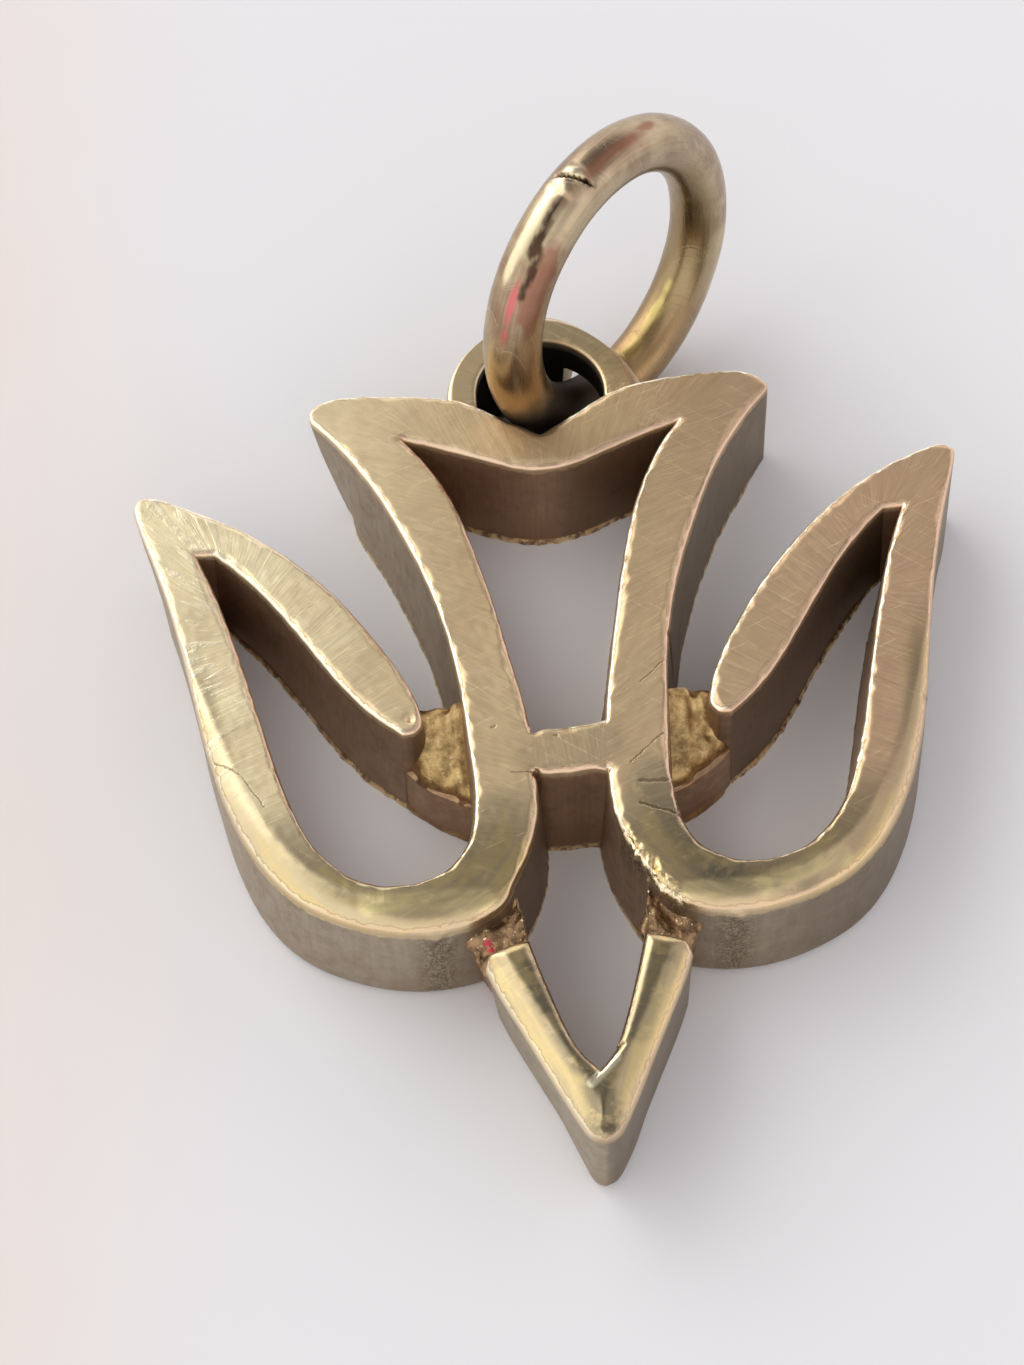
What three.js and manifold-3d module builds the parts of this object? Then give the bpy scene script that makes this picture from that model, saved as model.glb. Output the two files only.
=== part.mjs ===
// Dove charm: an openwork bird pendant of flat brass strands with an eyelet and a jump ring.
// Millimetres. +Y runs from the beak to the tail and the ring, +Z comes out of the polished
// front, and +X is to the right as seen from the front. The origin is the middle of the
// crossbar, on the flat back.
import * as THREE from 'three'
import { mergeVertices } from 'three/addons/utils/BufferGeometryUtils.js'
import Module from 'manifold-3d'

const wasm = await Module()
wasm.setup()

// Strands
const FRONT_HEIGHT = 3.2 // from the flat back to the polished front
const WALL_SPREAD = 0.2 // how much further out each wall stands at the back
const TIP_SPREAD = -0.2 // the same at the wing tips and the tail's corners, which are cut under
const TIP_REACH = 1.8 // how far from a tip its spread has turned into the usual one
const EDGE_ROUND = 0.14 // rounding along the front edges
const LOW_ROUND = 0.28 // worn rounding of the wing bottoms and the beak
const LOW_ROUND_FROM = -1.0 // the worn rounding begins below this Y
const LOW_ROUND_FULL = -4.5 // and is full from this Y on
const BEAK_UNDERCUT = 0.3 // how far the beak's outer walls lean in toward the back
const BEAK_TIP_UNDERCUT = 0.1 // the same at its blunt tip
const SEAM = 0.04 // gap left at a soldered or crossing seam
const FACET = 0.32 // length of one facet along a curved edge

// Pieces that cross between the strands
const BAR_HALF_HEIGHT = 0.7 // of the crossbar's front face, along Y
const BAR_APRON = 0.4 // how far the crossbar's underside reaches out below its front face
const WING_BRIDGE_DROP = 0.85 // the wing bridges lie this far below the front
const BEAK_BRIDGE_DROP = 0.75 // the beak bridges lie this far below the front

// Eyelet: a flat half ring on the tail's shoulders, which the ring passes under on the right
const EYELET_X = 0.1
const EYELET_INNER = 1.7 // radius inside the band
const EYELET_BAND = 0.73 // width of the band, seen from the front
const EYELET_HEIGHT = 1.1 // of the band, from its back to its face
const EYELET_RECESS = 0.06 // its face lies this far below the strands' front
const EYELET_ROUND = 0.1 // rounding of the band's edges
const EYELET_LEG = 0.6 // how far its legs run down into the tail's shoulders
const SKIRT_FROM = 78 // degrees round the band, from its right foot; from there on to the
// left foot a skirt closes the space below the band
const SKIRT_INSET = 0.06 // the skirt stands back from the band's inner and outer face
const EYELET_PLAY = 1.57 // free space beside the ring's wire, between the notch and the band

// Jump ring, standing on its edge round the eyelet's band
const RING_RADIUS = 3.88 // to the middle of the wire
const WIRE_RADIUS = 0.78
const RING_HEADING = 46 // degrees from +X to the way the ring leads off the eyelet
const RING_LEAN = 7.5 // degrees that the ring leans off upright
const RING_STEEPNESS = 61.4 // degrees from level, of the line from the band to the ring's middle
const RING_PLAY = 0.1 // free space round the eyelet's band as the ring swings
const BEAD_SWELL = 0.1 // how far the solder over the ring's joint stands above the wire
const BEAD_LENGTH = 0.34 // half its length along the wire
const BEAD_ANGLE = 99 // degrees round the ring from its outermost point

// How finely the round pieces are divided
const ARCH_SEGMENTS = 18 // round each side of the eyelet's arch
const RING_STEPS = 56 // along the ring
const WIRE_SIDES = 14 // round its wire
const BEAD_SEGMENTS = 16 // round the solder bead

// Colour and roughness
const POLISHED = { color: 0xb39564, roughness: 0.32, metalness: 1 }
const AS_CAST = { color: 0x8f6f45, roughness: 0.6, metalness: 1 }

// Corners and waist of the right half, X and Y; the left half is the mirror image
const WING_TIP = [11.0, 8.35]
const WING_HOLE_TIP = [9.2, 6.62]
const VANE_HOLE_TIP = [8.72, 6.6]
const VANE_HEEL = [4.15, 0.7]
const TAIL_CORNER = [6.25, 10.85]
const TAIL_HOLE_CORNER = [3.65, 9.9]
const NOTCH = [0, 9.75]
const WAIST_OUTER = [2.53, 0.4]
const WAIST_INNER = [0.9, -0.3]
const BEAK_SHOULDER = [2.52, -5.95]
const BEAK_ARM_TOP = [1.4, -5.3]
const BEAK_CROTCH = [0, -8.9]

// Edges of the right half, each from corner to corner
const TAIL_TOP_EDGE = [
  NOTCH, [1.0, 10.4], [2.0, 11.02], [3.2, 11.3], [4.6, 11.42], [5.7, 11.33], TAIL_CORNER,
]
const BODY_OUTER_EDGE = [
  TAIL_CORNER, [5.3, 9.7], [4.4, 8.15], [3.6, 6.2], [3.05, 4.4], [2.7, 2.5], WAIST_OUTER,
  [2.47, -1.3], [2.75, -2.6], [3.5, -3.35], [4.6, -3.55], [5.7, -3.15], [6.6, -2.1],
  [7.2, -0.5], [7.7, 1.5], [8.2, 3.6], [8.7, 5.3], WING_HOLE_TIP,
]
const VANE_LOWER_EDGE = [
  VANE_HOLE_TIP, [8.2, 6.1], [7.4, 5.1], [6.55, 3.8], [5.75, 2.5], [5.0, 1.5], VANE_HEEL,
]
const VANE_UPPER_EDGE = [
  VANE_HEEL, [3.78, 0.78], [3.62, 1.2], [3.9, 2.15], [4.55, 3.4], [5.5, 4.85], [6.6, 6.15],
  [7.9, 7.3], [9.3, 8.12], [10.45, 8.5], WING_TIP,
]
const WING_OUTER_EDGE = [
  WING_TIP, [10.5, 7.1], [9.93, 5.1], [9.5, 3.0], [9.1, 0.8], [8.6, -1.0], [7.8, -2.65],
  [6.8, -3.8], [5.5, -4.5], [4.2, -4.8], [2.95, -4.72], [2.0, -4.3], [1.6, -3.65], [1.2, -2.8],
  [0.93, -1.8], WAIST_INNER, [1.0, 1.1], [1.35, 3.2], [1.8, 5.5], [2.35, 7.5], [3.0, 8.95],
  TAIL_HOLE_CORNER,
]
const TAIL_UNDERSIDE = [TAIL_HOLE_CORNER, [2.4, 9.42], [1.2, 8.9], [0.5, 8.68], [0, 8.63]]
const BEAK_OUTER_EDGE = [[0, -10.72], [0.36, -10.55], [0.7, -9.95], [1.4, -8.45], [2.2, -6.75], BEAK_SHOULDER]
const BEAK_ARM_EDGE = [BEAK_SHOULDER, [2.4, -5.62], [1.9, -5.4], BEAK_ARM_TOP]
const BEAK_INNER_EDGE = [BEAK_ARM_TOP, [1.1, -6.4], [0.55, -8.1], BEAK_CROTCH]
const BEAK_MIDDLE = [0.42, -10] // X per Y of the line up the middle of an arm, and its Y at X 0

// The bird's strands are one outline, parted by lines on from these corners. Each region
// holds one strand and runs through the open spaces round it.
const VANE_REGION = [WING_HOLE_TIP, [7.05, 3.0], [5.5, 0.3], [3.9, -0.3], [3.1, 0.5], [3.1, 1.6],
  [3.4, 2.6], [4.4, 5.0], [6.5, 8.5], [10.5, 10.0]]
const TAIL_HALF_REGION = [[0, 7.5], [2.4, 8.9], TAIL_HOLE_CORNER, TAIL_CORNER, [7.0, 12.5], [0, 12.5]]

// One half of the charm, with room to spare
const RIGHT_HALF = [[0, -20], [20, -20], [20, 20], [0, 20]]

// Outlines of the pieces that fit between strands run on into their neighbours
const WING_BRIDGE_EDGES = [
  [[2.2, 1.95], [2.9, 1.85], [3.6, 1.7]],
  [[3.6, 1.7], [4.3, 1.0]],
  [[4.3, 1.0], [3.7, 0.25], [2.9, -0.3], [2.2, -0.62]],
  [[2.2, -0.62], [2.2, 1.95]],
]
const BEAK_BRIDGE_EDGES = [
  [[1.75, -3.5], [1.45, -4.3], [1.35, -5.6]],
  [[1.35, -5.6], [2.2, -6.05]],
  [[2.2, -6.05], [2.5, -5.5], [3.1, -4.5]],
  [[3.1, -4.5], [1.75, -3.5]],
]

const radians = THREE.MathUtils.degToRad
const mirroredPath = (path) => path.map(([x, y]) => [-x, y]).reverse()
const mirroredPaths = (paths) => paths.map(mirroredPath).reverse()
const bothHalves = (paths) => [...paths, ...mirroredPaths(paths)]

// Points along a smooth line through the path, without its last one; a path of two points
// is one straight edge
function smooth(path) {
  const curve = new THREE.SplineCurve(path.map(([x, y]) => new THREE.Vector2(x, y)))
  const steps = path.length > 2 ? Math.max(2, Math.round(curve.getLength() / FACET)) : 1
  return curve.getSpacedPoints(steps).slice(0, -1)
}

function closedLoop(paths) {
  const loop = paths.flatMap(smooth)
  return THREE.ShapeUtils.isClockWise(loop) ? loop.reverse() : loop
}

// The loop moved outward by grow(point); at a sharp corner no further than twice that
function grownLoop(loop, grow) {
  return loop.map((point, i) => {
    const before = loop.at(i - 1)
    const after = loop[(i + 1) % loop.length]
    const arriving = point.clone().sub(before).normalize()
    const leaving = after.clone().sub(point).normalize()
    const outward = new THREE.Vector2(arriving.y + leaving.y, -arriving.x - leaving.x).normalize()
    const cosine = Math.max(0.5, outward.dot(new THREE.Vector2(arriving.y, -arriving.x)))
    return point.clone().addScaledVector(outward, grow(point) / cosine)
  })
}

// Copies of an outline stacked at their levels, lowest first, joined into one closed body
function stackedLoops(outline, levels) {
  const count = outline.length
  const positions = levels.flatMap(({ loop, height }) => loop.flatMap((p, i) => [p.x, p.y, height(i)]))
  const faces = []
  for (let base = 0; base < (levels.length - 1) * count; base += count) {
    for (let i = 0; i < count; i++) {
      const next = (i + 1) % count
      const above = base + count
      faces.push(base + i, base + next, above + next, base + i, above + next, above + i)
    }
  }
  const top = (levels.length - 1) * count
  for (const [a, b, c] of THREE.ShapeUtils.triangulateShape(outline, [])) {
    faces.push(a, c, b, top + a, top + b, top + c)
  }
  const geometry = new THREE.BufferGeometry()
  geometry.setAttribute('position', new THREE.Float32BufferAttribute(positions, 3))
  geometry.setIndex(faces)
  return geometry
}

function solidOf(geometry) {
  const bare = geometry.clone()
  bare.deleteAttribute('normal')
  bare.deleteAttribute('uv')
  const merged = mergeVertices(bare, 1e-5)
  const vertProperties = new Float32Array(merged.attributes.position.array)
  const triVerts = new Uint32Array(merged.index.array)
  return new wasm.Manifold(new wasm.Mesh({ numProp: 3, vertProperties, triVerts }))
}

function geometryOf(solid) {
  const { vertProperties, triVerts } = solid.getMesh()
  const geometry = new THREE.BufferGeometry()
  geometry.setAttribute('position', new THREE.Float32BufferAttribute(vertProperties, 3))
  geometry.setIndex([...triVerts])
  return geometry
}

// The front edge is rounder on the wing bottoms and the beak, which are worn
function roundAt(point) {
  const upper = THREE.MathUtils.smoothstep(point.y, LOW_ROUND_FULL, LOW_ROUND_FROM)
  return THREE.MathUtils.lerp(LOW_ROUND, EDGE_ROUND, upper)
}

// A strand has walls that spread toward the back and a rounded front edge. A margin makes it
// larger all round, to cut its neighbours clear of it.
function strand(loop, { drop = 0, margin = 0, spread = () => WALL_SPREAD } = {}) {
  const front = FRONT_HEIGHT - drop + margin
  const levels = [{ loop: grownLoop(loop, (p) => spread(p) + margin), height: () => -margin }]
  for (const angle of [0, 35, 65, 90].map(radians)) {
    levels.push({
      loop: grownLoop(loop, (p) => margin - (1 - Math.cos(angle)) * roundAt(p)),
      height: (i) => front - (1 - Math.sin(angle)) * roundAt(loop[i]),
    })
  }
  return solidOf(stackedLoops(loop, levels))
}

// A tall block over a region with straight sides, to part the strands with
function region(points, margin = 0) {
  const corners = closedLoop(points.map((point, i) => [point, points[(i + 1) % points.length]]))
  const shape = new THREE.Shape(grownLoop(corners, () => margin))
  const block = new THREE.ExtrudeGeometry(shape, { depth: 3 * FRONT_HEIGHT, bevelEnabled: false })
  return solidOf(block.translate(0, 0, -FRONT_HEIGHT))
}

const birdLoop = closedLoop(bothHalves([
  TAIL_TOP_EDGE, BODY_OUTER_EDGE, [WING_HOLE_TIP, VANE_HOLE_TIP], VANE_LOWER_EDGE, VANE_UPPER_EDGE,
  WING_OUTER_EDGE, TAIL_UNDERSIDE,
]))
const beakLoop = closedLoop(bothHalves([BEAK_OUTER_EDGE, BEAK_ARM_EDGE, BEAK_INNER_EDGE]))

// The walls spread toward the back, but are cut under at the wing tips and the tail's corners
function birdSpread({ x, y }) {
  const away = [WING_TIP, TAIL_CORNER].map(([tipX, tipY]) => Math.hypot(Math.abs(x) - tipX, y - tipY))
  const usual = THREE.MathUtils.smoothstep(Math.min(...away), 0, TIP_REACH)
  return THREE.MathUtils.lerp(TIP_SPREAD, WALL_SPREAD, usual)
}

// The beak's outer walls lean in toward the back, its inner walls stand straight
function beakSpread({ x, y }) {
  const [slope, start] = BEAK_MIDDLE
  if (Math.abs(x) <= slope * (y - start)) return 0
  const along = THREE.MathUtils.smoothstep(Math.abs(x), 0, BEAK_SHOULDER[0] / 2)
  return -THREE.MathUtils.lerp(BEAK_TIP_UNDERCUT, BEAK_UNDERCUT, along)
}

const bird = strand(birdLoop, { spread: birdSpread })
const beak = strand(beakLoop, { spread: beakSpread })
const clearance = strand(birdLoop, { margin: SEAM, spread: birdSpread })
  .add(strand(beakLoop, { margin: SEAM, spread: beakSpread }))

// The piece itself, without the crumbs that a cut leaves in a corner
const largest = (cut) => cut.decompose().reduce((a, b) => (a.volume() > b.volume() ? a : b))

// A piece between the strands, cut back from them to leave a seam
const fitted = (edges, options) => largest(strand(closedLoop(edges), options).subtract(clearance))

// The point as far again past the end of a line, so that a cut runs right through a corner
const beyond = ([fromX, fromY], [toX, toY]) => [2 * toX - fromX, 2 * toY - fromY]
const tailHalf = TAIL_HALF_REGION
  .map((p) => (p === TAIL_CORNER ? beyond(TAIL_HOLE_CORNER, TAIL_CORNER) : p))
const tailRegion = [...tailHalf, ...mirroredPath(tailHalf).slice(1, -1)]
const vaneRegion = [...VANE_REGION, beyond(WING_HOLE_TIP, WING_TIP)]

function sidePieces(side) {
  const [points, paths] = side === 'left' ? [mirroredPath, mirroredPaths] : [(p) => p, (p) => p]
  const vane = points(vaneRegion)
  return {
    [`${side}_wing`]: largest(bird.intersect(region(points(RIGHT_HALF)))
      .subtract(region(vane, SEAM)).subtract(region(tailRegion, SEAM))),
    [`${side}_vane`]: largest(bird.intersect(region(vane))),
    [`${side}_wing_bridge`]: fitted(paths(WING_BRIDGE_EDGES), { drop: WING_BRIDGE_DROP }),
    [`${side}_beak_bridge`]: fitted(paths(BEAK_BRIDGE_EDGES), {
      drop: BEAK_BRIDGE_DROP, spread: () => -BEAK_UNDERCUT,
    }),
  }
}

// The crossbar runs on into the body's strands, which cut it to length, and its underside
// reaches out below its front face
function crossbar() {
  const x = (WAIST_INNER[0] + WAIST_OUTER[0]) / 2
  const y = BAR_HALF_HEIGHT
  const edges = [[[-x, -y], [x, -y]], [[x, -y], [x, y]], [[x, y], [-x, y]], [[-x, y], [-x, -y]]]
  return fitted(edges, { spread: (point) => (point.y < 0 ? BAR_APRON : WALL_SPREAD) })
}

// The wire passes between the tail's notch and the band, which places the eyelet
const eyeletY = NOTCH[1] + 2 * WIRE_RADIUS + EYELET_PLAY - EYELET_INNER

// The skirt below the left part of the band, down to the back
function eyeletSkirt(height) {
  const inner = EYELET_INNER + SKIRT_INSET
  const outer = EYELET_INNER + EYELET_BAND - SKIRT_INSET
  const skirt = new THREE.Shape()
  skirt.absarc(0, 0, outer, radians(SKIRT_FROM), Math.PI)
  skirt.lineTo(-outer, -EYELET_LEG)
  skirt.lineTo(-inner, -EYELET_LEG)
  skirt.absarc(0, 0, inner, Math.PI, radians(SKIRT_FROM), true)
  return new THREE.ExtrudeGeometry(skirt, {
    depth: height, curveSegments: ARCH_SEGMENTS, bevelEnabled: false,
  })
}

// The eyelet's half ring, legs and skirt, cut off where they meet the tail
function eyelet() {
  const outer = EYELET_INNER + EYELET_BAND
  const arch = new THREE.Shape()
  arch.moveTo(outer - EYELET_ROUND, -EYELET_LEG)
  arch.absarc(0, 0, outer - EYELET_ROUND, 0, Math.PI)
  arch.lineTo(EYELET_ROUND - outer, -EYELET_LEG)
  arch.lineTo(-EYELET_INNER - EYELET_ROUND, -EYELET_LEG)
  arch.absarc(0, 0, EYELET_INNER + EYELET_ROUND, Math.PI, 0, true)
  arch.lineTo(EYELET_INNER + EYELET_ROUND, -EYELET_LEG)
  const geometry = new THREE.ExtrudeGeometry(arch, {
    depth: EYELET_HEIGHT - 2 * EYELET_ROUND, curveSegments: ARCH_SEGMENTS,
    bevelThickness: EYELET_ROUND, bevelSize: EYELET_ROUND, bevelSegments: 2,
  })
  const face = FRONT_HEIGHT - EYELET_RECESS
  geometry.translate(EYELET_X, eyeletY, face - EYELET_HEIGHT + EYELET_ROUND)
  const skirt = eyeletSkirt(face - EYELET_HEIGHT / 2).translate(EYELET_X, eyeletY, 0)
  return largest(solidOf(geometry).add(solidOf(skirt)).subtract(clearance))
}

// The jump ring is round wire with a swell of solder over its joint
function jumpRing() {
  const wire = new THREE.TorusGeometry(RING_RADIUS, WIRE_RADIUS, WIRE_SIDES, RING_STEPS)
  const bead = new THREE.SphereGeometry(WIRE_RADIUS + BEAD_SWELL, BEAD_SEGMENTS, BEAD_SEGMENTS / 2)
  bead.scale(1, BEAD_LENGTH / (WIRE_RADIUS + BEAD_SWELL), 1)
  bead.translate(RING_RADIUS, 0, 0)
  bead.rotateZ(radians(BEAD_ANGLE))
  return solidOf(wire).add(solidOf(bead))
}

// Where the ring stands: the eyelet's band is just inside its wire, the wire leans on the
// tail's notch, and its lowest point is about level with the back
function ringPlace() {
  const heading = radians(RING_HEADING)
  const lean = radians(RING_LEAN)
  const outward = new THREE.Vector3(Math.cos(heading), Math.sin(heading), 0)
  const upward = new THREE.Vector3(-Math.sin(lean) * Math.sin(heading),
    Math.sin(lean) * Math.cos(heading), Math.cos(lean))
  const bandHeight = FRONT_HEIGHT - EYELET_RECESS - EYELET_HEIGHT / 2
  const pivot = new THREE.Vector3(EYELET_X, eyeletY, bandHeight)
    .addScaledVector(outward, EYELET_INNER + EYELET_BAND / 2)
  const reach = RING_RADIUS - WIRE_RADIUS - Math.hypot(EYELET_BAND, EYELET_HEIGHT) / 2 - RING_PLAY
  const steepness = radians(RING_STEEPNESS)
  return pivot.addScaledVector(outward, reach * Math.cos(steepness))
    .addScaledVector(upward, reach * Math.sin(steepness))
}

function named(name, geometry, finish) {
  const mesh = new THREE.Mesh(geometry, new THREE.MeshStandardMaterial(finish))
  mesh.name = name
  return mesh
}

const charm = new THREE.Group()
const pieces = {
  ...sidePieces('left'),
  ...sidePieces('right'),
  tail: largest(bird.intersect(region(tailRegion))),
  beak,
  crossbar: crossbar(),
  eyelet: eyelet(),
}
for (const [name, solid] of Object.entries(pieces)) {
  charm.add(named(name, geometryOf(solid), name.endsWith('bridge') ? AS_CAST : POLISHED))
}

const ring = named('jump_ring', geometryOf(jumpRing()), POLISHED)
ring.position.copy(ringPlace())
ring.rotation.set(radians(90 - RING_LEAN), 0, radians(RING_HEADING), 'ZXY')
charm.add(ring)

export default charm
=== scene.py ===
# %% [markdown]
# # A dove charm in brass
# A small cast pendant, 22 mm across: a flying dove drawn in flat strands of brass, a flat
# eyelet soldered on its tail, and a loose jump ring that stands on its edge in the eyelet.
# The packed CAD model gives every piece its place. Here each piece gets its worn and
# polished surface. Shapes are worked out in millimetres and put into Blender in metres.

# %% Load the packed model
import bpy
import numpy as np
from math import pi, radians
from types import SimpleNamespace
from mathutils import Matrix


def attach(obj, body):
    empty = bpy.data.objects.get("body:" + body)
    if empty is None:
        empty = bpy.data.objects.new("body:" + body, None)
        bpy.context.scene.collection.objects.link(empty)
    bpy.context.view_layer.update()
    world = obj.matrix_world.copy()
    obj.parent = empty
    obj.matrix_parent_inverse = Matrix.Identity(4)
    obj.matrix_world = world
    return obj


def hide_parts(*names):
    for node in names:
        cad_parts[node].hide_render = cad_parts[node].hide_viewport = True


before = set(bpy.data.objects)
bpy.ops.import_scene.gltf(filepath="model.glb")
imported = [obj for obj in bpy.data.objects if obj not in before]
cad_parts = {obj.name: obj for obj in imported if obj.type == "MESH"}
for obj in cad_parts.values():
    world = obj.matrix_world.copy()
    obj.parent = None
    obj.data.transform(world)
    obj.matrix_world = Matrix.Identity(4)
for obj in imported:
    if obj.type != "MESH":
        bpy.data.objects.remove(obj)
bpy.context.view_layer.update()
MM = 0.001
print("packed nodes:", sorted(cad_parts))

# %% [markdown]
# ## Camera
# The photo was taken from the beak's side, about 57 degrees above the table, with a long
# lens. A camera could be aimed by eye, but here its place and turn come from a fit to the
# outlines in the photo. The turn is written as three columns: the camera's right, its up,
# and the way back from its view.

# %% Camera
FOCAL_PIXELS, PHOTO_HEIGHT, SENSOR = 3500, 1365, 36.0
CAMERA_PLACE = (-0.002976, -0.045627, 0.077602)
CAMERA_RIGHT = (0.99722, -0.07087, -0.02287)
CAMERA_UP = (0.07201, 0.83930, 0.53887)
CAMERA_BACK = (-0.01899, -0.53903, 0.84208)
camera = bpy.data.objects.new("photo_camera", bpy.data.cameras.new("photo_camera"))
bpy.context.scene.collection.objects.link(camera)
camera.data.sensor_fit = "AUTO"
camera.data.sensor_width = SENSOR
camera.data.lens = FOCAL_PIXELS / PHOTO_HEIGHT * SENSOR
camera.data.clip_start = 0.005
camera.data.clip_end = 5.0
turn = Matrix((CAMERA_RIGHT, CAMERA_UP, CAMERA_BACK)).transposed().to_4x4()
camera.matrix_world = Matrix.Translation(CAMERA_PLACE) @ turn
bpy.context.scene.camera = camera
bpy.context.scene.view_settings.view_transform = "Standard"
print("camera", [round(c, 4) for c in camera.matrix_world.translation])

# %% [markdown]
# ## The outline
# The bird is one closed outline, seen from the front. It could be a curve object with an
# extrusion, but then all its edges would be worn alike. Kept as arrays of points, an outline
# can be measured too: how far a spot is from the nearest edge, and which points face each
# other. Only the right half is written down, and the left half is its mirror image. Each
# edge runs from corner to corner through a few points read from the photo.

# %% Points of the right half, in millimetres
FRONT = 3.2
WING_TIP = [11.0, 8.35]
WING_HOLE_TIP = [9.2, 6.62]
VANE_HOLE_TIP = [8.72, 6.6]
VANE_HEEL = [4.15, 0.7]
TAIL_CORNER = [6.25, 10.85]
TAIL_HOLE_CORNER = [3.65, 9.9]
NOTCH = [0, 9.75]
TAIL_TOP = [NOTCH, [1.0, 10.4], [2.0, 11.02], [3.2, 11.3], [4.6, 11.42], [5.7, 11.33], TAIL_CORNER]
BODY_OUTER = [TAIL_CORNER, [5.3, 9.7], [4.4, 8.15], [3.6, 6.2], [3.05, 4.4], [2.7, 2.5],
              [2.53, 0.4], [2.47, -1.3], [2.75, -2.6], [3.5, -3.35], [4.6, -3.55], [5.7, -3.15],
              [6.6, -2.1], [7.2, -0.5], [7.7, 1.5], [8.2, 3.6], [8.7, 5.3], WING_HOLE_TIP]
VANE_LOWER = [VANE_HOLE_TIP, [8.2, 6.1], [7.4, 5.1], [6.55, 3.8], [5.75, 2.5], [5.0, 1.5],
              VANE_HEEL]
VANE_UPPER = [VANE_HEEL, [3.78, 0.78], [3.62, 1.2], [3.9, 2.15], [4.55, 3.4], [5.5, 4.85],
              [6.6, 6.15], [7.9, 7.3], [9.3, 8.12], [10.45, 8.5], WING_TIP]
WING_OUTER = [WING_TIP, [10.5, 7.1], [9.93, 5.1], [9.5, 3.0], [9.1, 0.8], [8.6, -1.0],
              [7.8, -2.65], [6.8, -3.8], [5.5, -4.5], [4.2, -4.8], [2.95, -4.72], [2.0, -4.3],
              [1.6, -3.65], [1.2, -2.8], [0.93, -1.8], [0.9, -0.3], [1.0, 1.1], [1.35, 3.2],
              [1.8, 5.5], [2.35, 7.5], [3.0, 8.95], TAIL_HOLE_CORNER]
TAIL_UNDER = [TAIL_HOLE_CORNER, [2.4, 9.42], [1.2, 8.9], [0.5, 8.68], [0, 8.63]]
BEAK_SHOULDER = [2.52, -5.95]
BEAK_OUTER = [[0, -10.72], [0.36, -10.55], [0.7, -9.95], [1.4, -8.45], [2.2, -6.75], BEAK_SHOULDER]
BEAK_ARM_END = [BEAK_SHOULDER, [2.4, -5.62], [1.9, -5.4], [1.4, -5.3]]
BEAK_INNER = [[1.4, -5.3], [1.1, -6.4], [0.55, -8.1], [0, -8.9]]
BAR_UPPER = [[-1.4, 0.5], [-0.87, 0.55], [-0.69, 0.62], [-0.19, 0.64], [0.32, 0.68], [0.82, 0.73],
             [1.4, 0.85]]
BAR_LOWER = [[-1.4, -0.62], [-0.96, -0.65], [-0.67, -0.7], [-0.05, -0.7], [0.46, -0.66],
             [0.8, -0.71], [1.4, -0.9]]
print("outline points:", sum(len(p) for p in (TAIL_TOP, BODY_OUTER, VANE_LOWER, VANE_UPPER,
      WING_OUTER, TAIL_UNDER, BEAK_OUTER, BEAK_ARM_END, BEAK_INNER)))

# %% [markdown]
# A smooth curve is drawn through the points of each edge. A curve with handles would need
# two more points for each of them. So the slope at a point is taken from its neighbours, and
# a cubic joins each two points.

# %% Smooth curves
PER_SPAN = 24


def curve(path):
    """Points on the smooth curve through all points of the path, PER_SPAN to each span.

    Between points p1 and p2, with w from 0 to 1 and slopes v0 = (p2 - p0) / 2 and
    v1 = (p3 - p1) / 2: (2 p1 - 2 p2 + v0 + v1) w^3 + (3 p2 - 3 p1 - 2 v0 - v1) w^2 + v0 w + p1.
    """
    p = np.array(path, float)
    last = len(p) - 1
    t = np.linspace(0, last, last * PER_SPAN + 1)
    if last == 1:
        return p[0] + (p[1] - p[0]) * t[:, None]
    i = np.minimum(t.astype(int), last - 1)
    w = (t - i)[:, None]
    p0, p1, p2, p3 = (p[np.clip(i + k, 0, last)] for k in (-1, 0, 1, 2))
    v0, v1 = (p2 - p0) / 2, (p3 - p1) / 2
    cubic = (2 * p1 - 2 * p2 + v0 + v1) * w ** 3 + (3 * p2 - 3 * p1 - 2 * v0 - v1) * w ** 2
    return cubic + v0 * w + p1


def outward(loop):
    """Outward direction at each point of a closed loop: the mean of its two segments' normals,
    made longer by 1 / cosine of half the turn, at most twice as long."""
    step = np.roll(loop, -1, axis=0) - loop
    step /= np.linalg.norm(step, axis=1, keepdims=True)
    x, y = loop.T
    area = np.sum(x * np.roll(y, -1) - np.roll(x, -1) * y)
    normal = np.column_stack([step[:, 1], -step[:, 0]]) * np.sign(area)
    both = normal + np.roll(normal, 1, axis=0)
    both /= np.linalg.norm(both, axis=1, keepdims=True)
    cosine = np.maximum(0.5, np.sum(both * normal, axis=1, keepdims=True))
    return both / cosine


print("a curve through 3 points has", len(curve([[0, 0], [1, 0], [1, 1]])), "points")

# %% [markdown]
# An edge is then kept as rows of eight numbers: X, Y, the outward direction (two numbers,
# longer at a sharp corner, so that walls on both sides of it meet), how far the front edge is
# worn round, how much further out the wall stands at the back, the shape of its foot (1 for a
# ledge of cast metal, -1 for a rounded foot) and how dark its wall is: patina in the holes,
# which are less polished, and painted shade there as well. Every 24th row is one of the
# measured points, so points on facing edges can be paired by counting.

# %% Rows of an edge
POINT, OUT, WEAR, SPREAD, FOOT, DARK = slice(0, 2), slice(2, 4), 4, 5, 6, 7


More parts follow.
